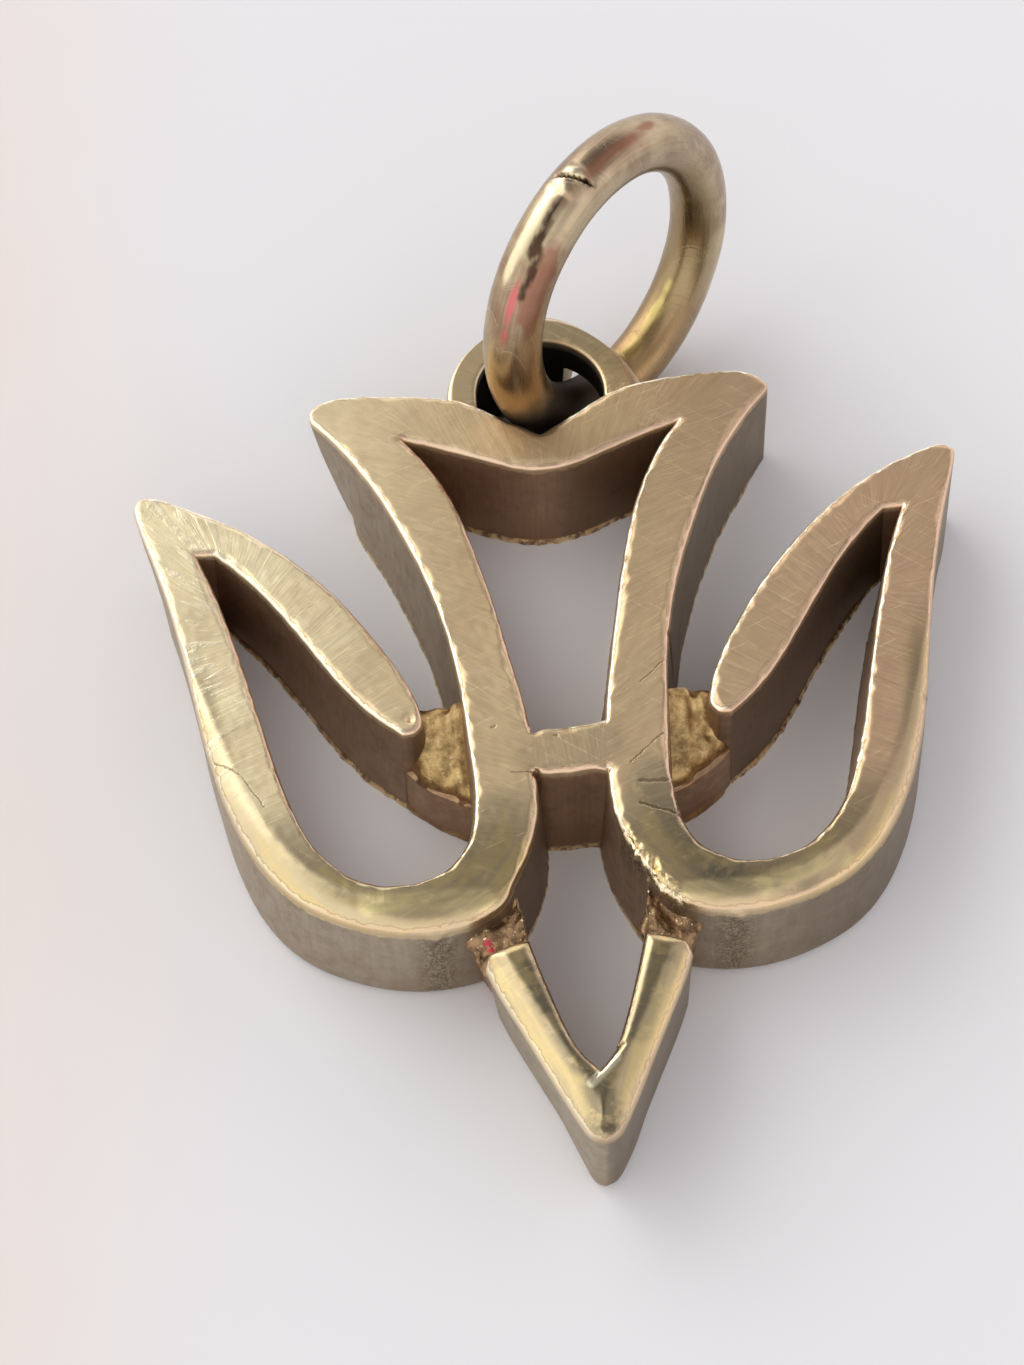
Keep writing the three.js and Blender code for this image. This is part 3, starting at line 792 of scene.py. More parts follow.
# %% Wing strands
made = {}
WING_ANCHORS = [(0, 0), (2, 2), (3, 3), (5, 5), (6, 6), (7, 7), (8, 8), (9, 10), (10, 12),
                (11, 14), (12, 15), (13, 16), (14, 17), (15, 18), (16, 20), (17, 21)]


def upright(edge, amount):
    """The wing's outer wall made steeper between the tip and the bottom: less spread."""
    x, y = edge[:, 0], edge[:, 1]
    changed = edge.copy()
    outside = (np.abs(x) > 5.5) & (y > -3.6)
    changed[:, SPREAD] -= (amount * outside * smoothstep(y, -3.6, 0.5)
                           * smoothstep(WING_TIP[1] - y, 0, 2))
    return changed


for side, flip, steeper in (("left", mirrored, 0.26), ("right", np.copy, 0.14)):
    outer_edge = upright(flip(wing_outer[::-1]), steeper)
    wing = strand_rows(flip(body_outer), outer_edge, WING_ANCHORS, bird_segments)
    made[side + "_wing"] = finish(wing, side + "_wing_strand", side + "_wing")

# %% [markdown]
# ## Vanes
# The inner feather of each wing is widest in the middle and ends in a rounded heel. It is
# made as a strand too, with its last row drawn together to a rounded end, which a flat cap
# could not give.

# %% Vanes
VANE_ANCHORS = [(0, 0), (1, 2), (2, 3), (3, 4), (4, 5), (5, 6), (6, 7), (7, 10)]
for side, flip in (("left", mirrored), ("right", np.copy)):
    low = flip(joined(hole_tip, vane_lower))
    high = flip(vane_upper[::-1])
    vane = strand_rows(low, high, VANE_ANCHORS, bird_segments)
    made[side + "_vane"] = finish(vane, side + "_vane_blade", side + "_vane", ("cap", "pole"))

# %% [markdown]
# ## Tail and crossbar
# The tail is a wavy bar with a notch where the ring leans. The crossbar joins the two body
# strands level with their front. It could end where they begin, but a hair of light would
# show. So it runs a little way into them, a hair lower.

# %% Tail and crossbar
TAIL_ANCHORS = [(0, 0), (3, 1), (4, 2), (5, 3), (6, 4), (7, 5), (8, 6), (9, 7), (12, 8)]
whole_top = joined(mirrored(tail_top)[::-1], tail_top)
whole_under = joined(mirrored(tail_under), tail_under[::-1])
tail = strand_rows(whole_top, whole_under, TAIL_ANCHORS, bird_segments)
made["tail"] = finish(tail, "tail_bar", "tail")

BAR_SINK = 0.004
bar = strand_rows(bar_upper, bar_lower, [(k, k) for k in range(7)], bird_segments)
bar["rows"][..., 2] -= BAR_SINK * smoothstep(bar["rows"][..., 2], 2.0, 3.0)
made["crossbar"] = finish(bar, "crossbar_face", "crossbar")

# %% [markdown]
# ## Beak
# A V with a blunt tip and domed arms. It could be two arms that meet, but the real one has
# no seam. So one sweep goes from arm end to arm end round the tip, and both ends close in a
# rounded pole. In the crotch a file left a small slanting facet: points below one line and
# beside another sink with their distance from both.

# %% Beak
BEAK_ANCHORS = [(0, 0), (2, 1), (3, 2), (4, 3), (7, 4), (10, 5), (11, 6), (12, 7), (14, 8)]
FACET_X, FACET_Y = -0.27, -9.36
outer_half = joined(beak_outer, arm_outside)
inner_half = joined(arm_inside, beak_inner)
beak_a = joined(mirrored(outer_half)[::-1], outer_half)
beak_b = joined(mirrored(inner_half), inner_half[::-1])
# The right outer wall leans in less than the left one
beak_a[:, SPREAD] += 0.22 * smoothstep(beak_a[:, 0], 0.1, 1.0)
beak = strand_rows(beak_a, beak_b, BEAK_ANCHORS, beak_segments, across=11)
beak_x, beak_y, beak_z = np.moveaxis(beak["rows"], -1, 0)
below_line = (beak_y - FACET_Y - beak_x + FACET_X) / 2 ** 0.5
beside_line = 0.868 * (beak_x - FACET_X) - 0.496 * (beak_y - FACET_Y)
crotch = np.clip(np.minimum(below_line, 2 * beside_line), 0, 0.4) * (beak_y < -8.3)
beak["rows"][..., 2] = beak_z - 0.45 * crotch * smoothstep(beak_z, 2.2, 2.8)
beak["marks"]["dome"] = 1 - beak["marks"]["wall"]
made["beak"] = finish(beak, "beak_arms", "beak", ("pole", "pole"))

# %% [markdown]
# ## Rough bridges
# Between the strands the casting was left as it came. Beside each vane's heel the metal
# starts level with the strands and slopes down to the front in a hollow with ribs. Beside
# the beak it is lower, a heap of grains. Sculpting would do for one of them. A strand with
# a sloping front and layered noise does for all four.

# %% Bridges
def bridge(name, node, edges, front, sink, lump, rib, flip):
    """A sloping strand with a rough front: ribs down the slope and lumps of layered noise."""
    spans = [(len(e) - 1) // PER_SPAN for e in edges]
    a, b = (flip(e) for e in edges)
    shape = strand_rows(a, b, [(0, 0), spans], np.vstack([pieces_of(a), pieces_of(b)]),
                        front=front, sink=sink, across=26)
    rows = shape["rows"]
    lumps = lump * layered(rows, 0.42, 3) + 0.4 * lump * np.abs(noise(rows + 9, 0.18))
    ribs = (rib * noise(rows * [1, 0.12, 0.12] + 3, 0.24)
            + 0.5 * rib * noise(rows * [1, 0.2, 0.2] + 7, 0.55))
    front_only = np.zeros(rows.shape[:2])
    front_only[:, shape["front"]] = 1
    return finish(shape, name, node, extra=(lumps + ribs) * (0.2 + 0.8 * front_only))


def hollow_slope(t):
    """Height lost at the share t of the way: 1.25 t^0.6, steep at first and then level."""
    return 1.25 * t ** 0.6


def grain_slope(t):
    """Height lost along an even slope: 0.35 t."""
    return 0.35 * t


wing_bridge = (facing([[2.2, 1.72], [2.9, 1.62], [3.75, 1.5]], (0, 1), 0.1, foot=0.2),
               facing([[2.2, -0.62], [2.9, -0.3], [3.7, 0.25], [4.3, 1.0]], (0.5, -1), 0.3,
                      foot=0.8))
beak_bridge = (facing([[1.75, -3.5], [1.45, -4.3], [1.35, -5.6]], (-1, 0), 0.12, spread=-0.3),
               facing([[3.1, -4.5], [2.5, -5.5], [2.2, -6.05]], (1, -0.5), 0.25, spread=-0.3,
                      foot=-1.0))
for side, flip in (("left", mirrored), ("right", np.copy)):
    made[side + "_wing_bridge"] = bridge(side + "_wing_web", side + "_wing_bridge", wing_bridge,
                                         FRONT - 0.12, hollow_slope, 0.012, 0.09, flip)
    made[side + "_beak_bridge"] = bridge(side + "_beak_web", side + "_beak_bridge", beak_bridge,
                                         FRONT - 0.6, grain_slope, 0.13, 0.02, flip)

# %% [markdown]
# ## Eyelet
# A flat band bent into a half ring, with its feet soldered to the tail's shoulders. Left of
# its top a sheet of metal closes the space below the band down to the back. Its inside is
# painted nearly black: painted shade. A section carried along a path gives band and sheet in
# one skin: where the sheet hangs, the section's lower points are simply pulled down.

# %% Section and path of the eyelet
EYELET_CENTRE = (0.1, 11.18)
EYELET_MIDDLE = 2.065
BAND_HALF = (0.365, 0.55)
EYELET_FACE = 3.14
LEG = 0.6
LEG_ROWS, ARC_ROWS = 8, 121


def rounded_section(half_x, half_y, radius, along=9, turn=6):
    """A closed rectangle with quarter-circle corners, and its outward directions, walked
    counter-clockwise from the lower end of its right side."""
    points, directions = [], []
    quarter = np.linspace(0, pi / 2, turn)
    corners = [(1, 1), (-1, 1), (-1, -1), (1, -1)]
    for k, corner in enumerate(corners):
        direction = np.column_stack([np.cos(quarter + k * pi / 2), np.sin(quarter + k * pi / 2)])
        arc = np.array(corner) * [half_x - radius, half_y - radius] + radius * direction
        before = (np.array(corners[k - 1]) * [half_x - radius, half_y - radius]
                  + radius * direction[0])
        share = np.linspace(0, 1, along)[:-1, None]
        points += [before + (arc[0] - before) * share, arc]
        directions += [np.tile(direction[0], (along - 1, 1)), direction]
    return np.vstack(points), np.vstack(directions)


leg_steps = np.linspace(-LEG, 0, LEG_ROWS + 1)[:-1]
arc_steps = np.linspace(0, pi, ARC_ROWS)
section, section_out = rounded_section(*BAND_HALF, 0.1)
arc = np.column_stack([-np.cos(arc_steps) * EYELET_MIDDLE, np.sin(arc_steps) * EYELET_MIDDLE])
left_leg = np.column_stack([np.full(LEG_ROWS, -EYELET_MIDDLE), leg_steps])
band_path = np.vstack([left_leg, arc, left_leg[::-1] * [-1, 1]])
leg_out = np.tile([-1.0, 0.0], (LEG_ROWS, 1))
band_out = unit(np.vstack([leg_out, arc, -leg_out]))
degrees_round = np.degrees(np.concatenate([np.full(LEG_ROWS, pi), pi - arc_steps,
                                           np.zeros(LEG_ROWS)]))
print("eyelet path:", len(band_path), "rows, section:", len(section), "columns")


# %% Band of the eyelet
SKIRT_FROM = 69
OUTSIDE_AT, OUTSIDE = [0, 15, 45, 80, 130, 180], [0.3, 0.12, -0.12, 0.12, -0.08, 0.06]
side_out, up_out = section_out[None, :, 0], section_out[None, :, 1]
lower = np.clip(-section[None, :, 1] / BAND_HALF[1], 0, 1)
skirt = smoothstep(degrees_round, SKIRT_FROM - 5, SKIRT_FROM)[:, None]
# The outside is hammered a little out of round, and flares where the skirt begins
outside = np.interp(degrees_round, OUTSIDE_AT, OUTSIDE)[:, None]
flare = 0.62 * np.exp(-((degrees_round - SKIRT_FROM) / 8) ** 2)[:, None]
grow = np.where(side_out > 0, outside * side_out, 0.0)
grow = grow + flare * smoothstep(lower, 0.45, 1.0) * np.clip(side_out, 0, 1)
inset = -0.06 * skirt * smoothstep(lower, 0.1, 0.5) * side_out
reach = section[None, :, 0] + grow + inset
band = np.empty((len(band_path), len(section), 3))
band[..., :2] = ((np.array(EYELET_CENTRE) + band_path)[:, None]
                 + band_out[:, None] * reach[..., None])
underneath = EYELET_FACE - 2 * BAND_HALF[1]
band[..., 2] = EYELET_FACE - BAND_HALF[1] + section[None, :, 1] - skirt * lower * underneath
print("the skirt is", round(underneath, 2), "mm high")

# %% Solder, finish marks and mesh of the eyelet
band_u = length_along(band_path)
foot = np.exp(-(np.minimum(band_u, band_u[-1] - band_u) / 0.6) ** 2)
right_foot = foot[:, None] * (band_path[:, :1] > 0)
band_lift = np.concatenate([band_out[:, None] * side_out[..., None],
                            np.broadcast_to(up_out[..., None], band.shape[:2] + (1,))], axis=-1)
lumps = 0.01 * noise(band, 0.9) + 0.07 * right_foot * layered(band, 0.3, 3)
lumps = lumps * (0.15 + 0.85 * smoothstep(side_out, -0.5, 0.5))
lumps = lumps * smoothstep(band[..., 2], 0.0, 0.4)
on_face = smoothstep(section_out[:, 1], 0.55, 0.9)[None]
corner_near = np.exp(-((np.abs(section[:, 0]) - BAND_HALF[0] + 0.02) / 0.09) ** 2
                     - ((section[:, 1] - BAND_HALF[1] + 0.02) / 0.09) ** 2)[None]
# Painted shade: the band's inner side, below its face, is painted nearly black
band_inside_shade = smoothstep(-side_out, 0.6, 0.95) * smoothstep(EYELET_FACE - band[..., 2], 0.08, 0.3)
band_marks = {"wall": 1 - on_face, "rim": (1 - corner_near) * 0.4, "soot": band_inside_shade,
              "rough": right_foot, "dark": 0.2 * (1 - on_face), "dome": 0.5,
              "sun": 0.6 * band_out[:, :1] * -1,
              "depth": np.clip(1 - band[..., 2] / FRONT, 0, 1)}
made["eyelet"] = skin("eyelet_band", band + band_lift * lumps[..., None], band_u,
                      length_along(np.vstack([section, section[:1]])), band_marks)
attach(made["eyelet"], "pendant")
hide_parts("eyelet")

# %% [markdown]
# ## Jump ring
# Round wire bent to a circle and soldered shut. A lump of solder sits on the outside of the
# joint, parted by a dark split. Blender's torus has the right form, but no wear. So the
# wire is a grid of two angles: phi goes round the ring and psi round the wire, and the
# wire's radius changes with both.

# %% Wire of the ring
RING_CENTRE = np.array([2.120, 13.658, 4.627])
RING_AXIS = np.array([0.713186, -0.688717, 0.130526])
RING_U = np.array([0.6947, 0.7193, 0.0])
RING_V = np.array([-0.0939, 0.0907, 0.9914])
RING_RADIUS, WIRE = 3.88, 0.78
RING_ROWS, WIRE_COLUMNS = 520, 72
ring_turn = np.linspace(0, 2 * pi, RING_ROWS, endpoint=False)
wire_turn = np.linspace(0, 2 * pi, WIRE_COLUMNS, endpoint=False)
phi, psi = np.meshgrid(ring_turn, wire_turn, indexing="ij")
radial = np.cos(phi)[..., None] * RING_U + np.sin(phi)[..., None] * RING_V
across_wire = np.cos(psi)[..., None] * radial + np.sin(psi)[..., None] * RING_AXIS
centre_line = RING_CENTRE + RING_RADIUS * radial
surface = centre_line + WIRE * across_wire
print("ring of", RING_ROWS, "rows,", 2 * (RING_RADIUS + WIRE), "mm outside")

# %% Solder lump and split
JOINT, LUMP_TURN = radians(101), radians(8)
from_joint = (phi - JOINT) * RING_RADIUS
from_top = np.abs((psi - LUMP_TURN + pi) % (2 * pi) - pi)
around_top = np.exp(-(from_top / 0.55) ** 2)
border = np.abs(from_joint) + 0.15 * noise(surface + 2, 0.25)
swell = 0.088 * smoothstep(border, 0.42, 0.2) * around_top
slant = 0.25 * from_top * np.sign(np.sin(psi - LUMP_TURN))
split = np.exp(-((from_joint + slant) / 0.04) ** 2)
split *= smoothstep(np.cos(psi - radians(15)), 0.7, 0.92)
uneven = 0.008 * noise(surface, 1.1) + 0.003 * noise(surface + 4, 0.35) - 0.008
ring_rows = centre_line + across_wire * (WIRE + uneven + swell - 0.16 * split)[..., None]
print("the lump adds", round(float(swell.max()), 3), "mm")

# %% [markdown]
# The wire mirrors a whole room: a bright window, brown shadows and a little magenta. Those
# highlights and reflections are painted here as patches on the ring's own surface, so they
# stay with the ring when it swings. Each is an oval with a wandering border.

# %% Patches on the ring
def spot(turn, wire, long, wide, wander=0.25):
    """A patch on the ring, 1 in its middle: a long oval with a wandering border, at `turn`
    degrees round the ring and `wire` degrees round the wire."""
    along = (phi - radians(turn)) * RING_RADIUS / long
    aside = ((psi - radians(wire) + pi) % (2 * pi) - pi) * WIRE / wide
    edge = wander * layered(surface + turn, 0.5, 3)
    return 1 - smoothstep(np.hypot(along, aside) + edge, 0.5, 1.1)


def spots(*patches):
    """The strongest of several patches at each point."""
    return np.maximum.reduce([spot(*patch) for patch in patches])


# Painted shade: the ring is painted nearly black where it passes through the eyelet
from_eyelet = np.linalg.norm(surface[..., :2] - EYELET_CENTRE, axis=-1)
in_eyelet = (smoothstep(phi + 0.05 * noise(surface + 6, 0.4), radians(187), radians(203))
             * smoothstep(from_eyelet, 3.4, 2.8))
amber = smoothstep(phi, radians(160), radians(186)) * smoothstep(phi, radians(330), radians(270))
# Painted light on the ring: the bright and yellow patches are painted highlights, the copper,
# magenta and streak patches painted reflections
ring_marks = {
    "inside": smoothstep(-np.cos(psi), -0.1, 0.7),
    "bright": spots((134, 352, 0.7, 0.17), (120, 356, 0.9, 0.22), (108, 352, 0.5, 0.2)),
    "yellow": spots((277, 172, 0.9, 0.24), (300, 176, 1.1, 0.2)),
    "amber": amber * (1 - in_eyelet),
    "copper": spots((86, 30, 1.5, 0.22), (66, 20, 0.5, 0.18), (140, 60, 1.6, 0.35, 0.4)),
    "magenta": spots((146, 21, 0.6, 0.14), (158, 20, 0.3, 0.1)),
    "streak": spots((113, 19, 0.5, 0.08, 0.8), (124, 26, 0.6, 0.12, 0.8),
                    (136, 38, 0.6, 0.14, 0.8)) ** 0.5,
    "joint": spots((106.5, 358, 0.2, 0.36, 0.3), (99.8, 12, 0.22, 0.4, 0.3)),
    "split": split,
    "soot": in_eyelet}
made["jump_ring"] = skin("ring_wire", ring_rows, ring_turn * RING_RADIUS,
                         np.linspace(0, 2 * pi * WIRE, WIRE_COLUMNS + 1), ring_marks, closed=True)
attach(made["jump_ring"], "ring")
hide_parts("jump_ring")

# %% [markdown]
# ## Finishes
# Materials are graphs of nodes. Drawn by hand, a graph this size is hard to read. So a small
# class stands for one value that varies over the surface, and sums of textures are written
# as sums. A second class holds the graph and adds any other node by name.

# %% A varying value
class Varying:
    """One output in a material's graph. + - * and / make Math nodes."""

    def __init__(self, paint, socket):
        self.paint, self.socket = paint, socket

    def math(self, operation, first, second=0.0):
        """A Math node on two values or numbers."""
        return self.paint.node("ShaderNodeMath", {"operation": operation}, {0: first, 1: second})

    def between(self, low, high, start=0.0, end=1.0):
        """0 below low and 1 above high, smoothly, or start and end instead of 0 and 1."""
        return self.paint.node("ShaderNodeMapRange", {"interpolation_type": "SMOOTHSTEP"},
                               {"Value": self, "From Min": low, "From Max": high,
                                "To Min": start, "To Max": end})

    @staticmethod
    def operators(operation):
        """The plain and the reflected form of an operator, for a * 2 and for 2 * a."""
        return (lambda self, other: self.math(operation, self, other),
                lambda self, other: self.math(operation, other, self))


Varying.__add__, Varying.__radd__ = Varying.operators("ADD")
Varying.__sub__, Varying.__rsub__ = Varying.operators("SUBTRACT")
Varying.__mul__, Varying.__rmul__ = Varying.operators("MULTIPLY")
Varying.__truediv__, Varying.__rtruediv__ = Varying.operators("DIVIDE")
print("reflected operators:", [name for name in vars(Varying) if name.startswith("__r")])


# %% Paint
class Paint:
    """The graph of a material or of the world."""

    def __init__(self, holder):
        self.holder = holder
        holder.use_nodes = True
        self.tree = holder.node_tree
        self.tree.nodes.clear()

    def node(self, kind, settings=None, inputs=None, output=0):
        """Any node: its settings first, then its sockets' values or links."""
        made_node = self.tree.nodes.new(kind)
        for key, value in (settings or {}).items():
            setattr(made_node, key, value)
        for key, value in (inputs or {}).items():
            if isinstance(value, Varying):
                self.tree.links.new(value.socket, made_node.inputs[key])
            else:
                made_node.inputs[key].default_value = value
        return Varying(self, made_node.outputs[output]) if made_node.outputs else made_node

    def mark(self, name):
        """A number that `skin` stored at each point."""
        return self.node("ShaderNodeAttribute", {"attribute_name": name}, output="Fac")

    def place(self):
        """Object coordinates in millimetres."""
        return self.scaled(self.node("ShaderNodeTexCoord", output="Object"), (1000, 1000, 1000))

    def strand(self, along, across, shift=0.0):
        """The piece's own UV map, stretched: along and across the strand."""
        flat = self.node("ShaderNodeUVMap", {"uv_map": "strand"})
        moved = self.vector("ADD", flat, (shift, shift, 0))
        return self.scaled(moved, (along, across, 1))

    def vector(self, operation, first, second, output=0):
        """A Vector Math node on two vectors."""
        return self.node("ShaderNodeVectorMath", {"operation": operation},
                         {0: first, 1: second}, output)

    def scaled(self, vector, factors):
        """Each part of a vector times its own factor, which stretches or shrinks a texture."""
        return self.vector("MULTIPLY", vector, factors)

    def noise(self, vector, scale=1.0, detail=3.0, rough=0.5, warp=0.0):
        """A cloudy texture, 0.5 on average. detail adds finer clouds, and rough their share."""
        return self.node("ShaderNodeTexNoise", {"noise_dimensions": "3D"},
                         {"Vector": vector, "Scale": scale, "Detail": detail, "Roughness": rough,
                          "Distortion": warp})

    def mix(self, factor, first, second):
        """Colours mixed by factor. Colours are written as linear RGB."""
        pick = {"data_type": "RGBA", "blend_type": "MIX", "clamp_factor": True}
        whole = lambda c: c if isinstance(c, Varying) else (*c, 1.0)
        return self.node("ShaderNodeMix", pick, {0: factor, 6: whole(first), 7: whole(second)},
                         output=2)

    def separate(self, vector, axis):
        """One part of a vector."""
        return self.node("ShaderNodeSeparateXYZ", None, {0: vector}, output=axis)

    def bump(self, height, strength, distance):
        """Relief that only the light sees, for the surface's Normal."""
        return self.node("ShaderNodeBump", None,
                         {"Height": height, "Strength": strength, "Distance": distance})

    def surface(self, **inputs):
        """The surface itself, wired to the output."""
        named = {key.replace("_", " "): value for key, value in inputs.items()}
        shader = self.node("ShaderNodeBsdfPrincipled", None, named)
        self.node("ShaderNodeOutputMaterial", None, {"Surface": shader})
        return self.holder


print("paint methods:", [name for name in vars(Paint) if name[0] != "_"])


# %% Scratches and strokes
STROKE_CORE = 0.4


def scratches(paint, turn, along, across, threshold, seed):
    """Thin long marks: noise stretched along one direction, only its highest crests kept."""
    turned = paint.node("ShaderNodeVectorRotate", {"rotation_type": "Z_AXIS"},
                        {"Vector": paint.place(), "Center": (seed, -seed, 0),
                         "Angle": radians(turn)})
    stretched = paint.scaled(turned, (along, across, 1.0))
    return paint.noise(stretched, 1.0, 1.0, 0.4).between(threshold, threshold + 0.05)


def stroke(paint, place, start, end, width):
    """1 on the straight line from start to end, seen from the front, and 0 beside it.

    With p from start and d = end - start, the nearest share is t = p.d / d.d, kept between
    0 and 1, and the distance is |p - t d|.
    """
    d = (end[0] - start[0], end[1] - start[1], 0.0)
    p = paint.vector("SUBTRACT", place, (start[0], start[1], 0.0))
    share = paint.vector("DOT_PRODUCT", p, d, "Value") / (d[0] ** 2 + d[1] ** 2)
    share = share.math("MAXIMUM", share.math("MINIMUM", share, 1.0), 0.0)
    along = paint.node("ShaderNodeVectorMath", {"operation": "SCALE"}, {0: d, "Scale": share})
    away = paint.vector("SUBTRACT", p, along)
    length = paint.node("ShaderNodeVectorMath", {"operation": "LENGTH"}, {0: away}, "Value")
    return length.between(width * STROKE_CORE, width, 1.0, 0.0)


def strokes(paint, place, table):
    """The sum of several strokes, each given by start, end, width and strength."""
    total = 0.0
    for start, end, width, strength in table:
        total = total + stroke(paint, place, start, end, width) * strength
    return total


print("a stroke is full to", STROKE_CORE, "of its width")

# %% [markdown]
# ### Satin brass
# The front was polished across the strands with a fine wheel: many thin parallel marks, a
# few longer scratches, and edges rubbed bright, with painted highlights on those that face
# the window and painted pink reflections on the others. Tarnish mixed with painted dark
# reflections, and painted highlights, lie where the photo shows them, as strokes from one
# point to another. A painted image would do that too, but it would be one more file, and
# blurred up close. Noises at several sizes stay sharp.

# %% Strokes read from the photo, in millimetres
LONG_SCRATCHES = [((1.93, 1.74), (2.63, 2.42), 0.035), ((1.47, -0.6), (2.35, 0.2), 0.04),
                  ((1.67, -1.15), (2.79, -1.2), 0.09), ((1.61, -1.78), (2.6, -2.2), 0.07),
                  ((-8.87, 0.33), (-8.26, -0.11), 0.035), ((-8.26, -0.11), (-7.66, -1.11), 0.03),
                  ((-1.53, -0.64), (-0.9, -0.64), 0.04), ((-1.88, 0.73), (-1.85, 0.74), 0.07),
                  ((-0.33, 0.33), (-0.3, 0.34), 0.06), ((2.27, -7.64), (2.3, -7.7), 0.08),
                  ((0.07, -10.4), (0.1, -10.4), 0.17)]
# Tarnish together with painted dark reflections on the domes, as strokes
DARK_REFLECTION_AND_TARNISH = [((2.1, -1.2), (3.3, -3.6), 1.0, 0.65), ((3.3, -4.1), (5.4, -4.1), 0.55, 0.5),
           ((-1.75, -1.6), (-2.7, -3.7), 0.7, 0.25), ((-0.8, -0.1), (0.8, 0.0), 0.9, 0.35),
           ((1.75, -6.0), (1.0, -8.0), 0.42, 0.75), ((-1.5, -6.2), (-0.4, -8.8), 0.42, 0.9),
           ((-0.05, -9.4), (0.08, -10.3), 0.6, 0.9), ((0.7, 13.2), (2.1, 12.3), 0.8, 0.45)]
# Painted highlights on the wing bottoms and beak arms, as strokes
PAINTED_HIGHLIGHTS = [((-6.4, -3.45), (-5.2, -4.05), 0.35, 0.2), ((-5.2, -4.05), (-2.4, -4.15), 0.4, 0.75),
         ((2.6, -4.25), (4.4, -4.3), 0.28, 0.6), ((4.4, -4.3), (6.4, -3.6), 0.35, 0.6),
         ((-2.2, -6.2), (-0.5, -9.9), 0.28, 0.25), ((1.9, -6.4), (0.45, -9.6), 0.25, 0.25)]
# Painted highlight on the small facet in the beak's crotch
PAINTED_GLINT = [((-0.2, -9.3), (0.42, -8.7), 0.17, 1.0)]
WOBBLE = 0.12
CUTS = [((x0 + WOBBLE / 2, y0 + WOBBLE / 2), (x1 + WOBBLE / 2, y1 + WOBBLE / 2), width, 1.0)
        for (x0, y0), (x1, y1), width in LONG_SCRATCHES]
print("strokes:", len(LONG_SCRATCHES + DARK_REFLECTION_AND_TARNISH + PAINTED_HIGHLIGHTS + PAINTED_GLINT))


# %% What the layers of satin brass share
def satin_textures(p):
    """Marks, noises and masks that more than one layer reads."""
    names = ("wall", "ledge", "dark", "sun", "dome", "depth", "soot", "rough")
    t = SimpleNamespace(**{name: p.mark(name) for name in names})
    t.place = p.place()
    t.flat = p.scaled(t.place, (1, 1, 0))
    t.x = p.separate(t.place, "X")
    t.patches = p.noise(t.place, 0.35, 4.0, 0.6)
    t.blotches = p.noise(t.place, 1.7, 4.0, 0.65)
    t.grain = p.noise(t.place, 9.0, 4.0, 0.6)
    t.jag = p.noise(t.place, 4.0, 5.0, 0.65)
    t.streaks = p.noise(p.strand(0.35, 2.2, 1.7), 1.0, 3.0, 0.55)
    t.brushed = p.noise(p.strand(15.0, 0.8), 1.0, 4.0, 0.65)
    t.coarse = p.noise(p.strand(4.0, 0.5, 3.3), 1.0, 3.0, 0.55, 0.4)
    t.upright = p.noise(p.strand(9.0, 0.7, 5.1), 1.0, 4.0, 0.6)
    # Domes were tumbled smooth, so they show fewer marks of the brush
    t.calm = 1 - t.dome * 0.75
    t.comb = (t.coarse.between(0.5, 0.56) * t.x.between(-9.3, -8.0, 1.0, 0.0)
              * t.blotches.between(0.4, 0.6))
    lines = scratches(p, 38, 0.5, 30.0, 0.69, 3.1) + scratches(p, -24, 0.6, 34.0, 0.71, 7.7)
    t.lines = lines * (1 - t.dome * 0.6)
    shaken = p.node("ShaderNodeTexNoise", {"noise_dimensions": "3D"},
                    {"Vector": t.place, "Scale": 6.0, "Detail": 2.0}, "Color")
    wobbling = p.vector("ADD", t.flat, p.scaled(shaken, (WOBBLE, WOBBLE, 0)))
    t.cuts = strokes(p, wobbling, CUTS) * (1 - t.wall) * t.blotches.between(0.3, 0.5, 0.4, 1.0)
    # The facet along the edges has a jagged border
    t.border = p.mark("rim") + (t.jag - 0.5) * 0.22
    t.facet = t.border.between(0.09, 0.115, 1.0, 0.0) * (1 - t.wall)
    return t


print(satin_textures.__doc__)


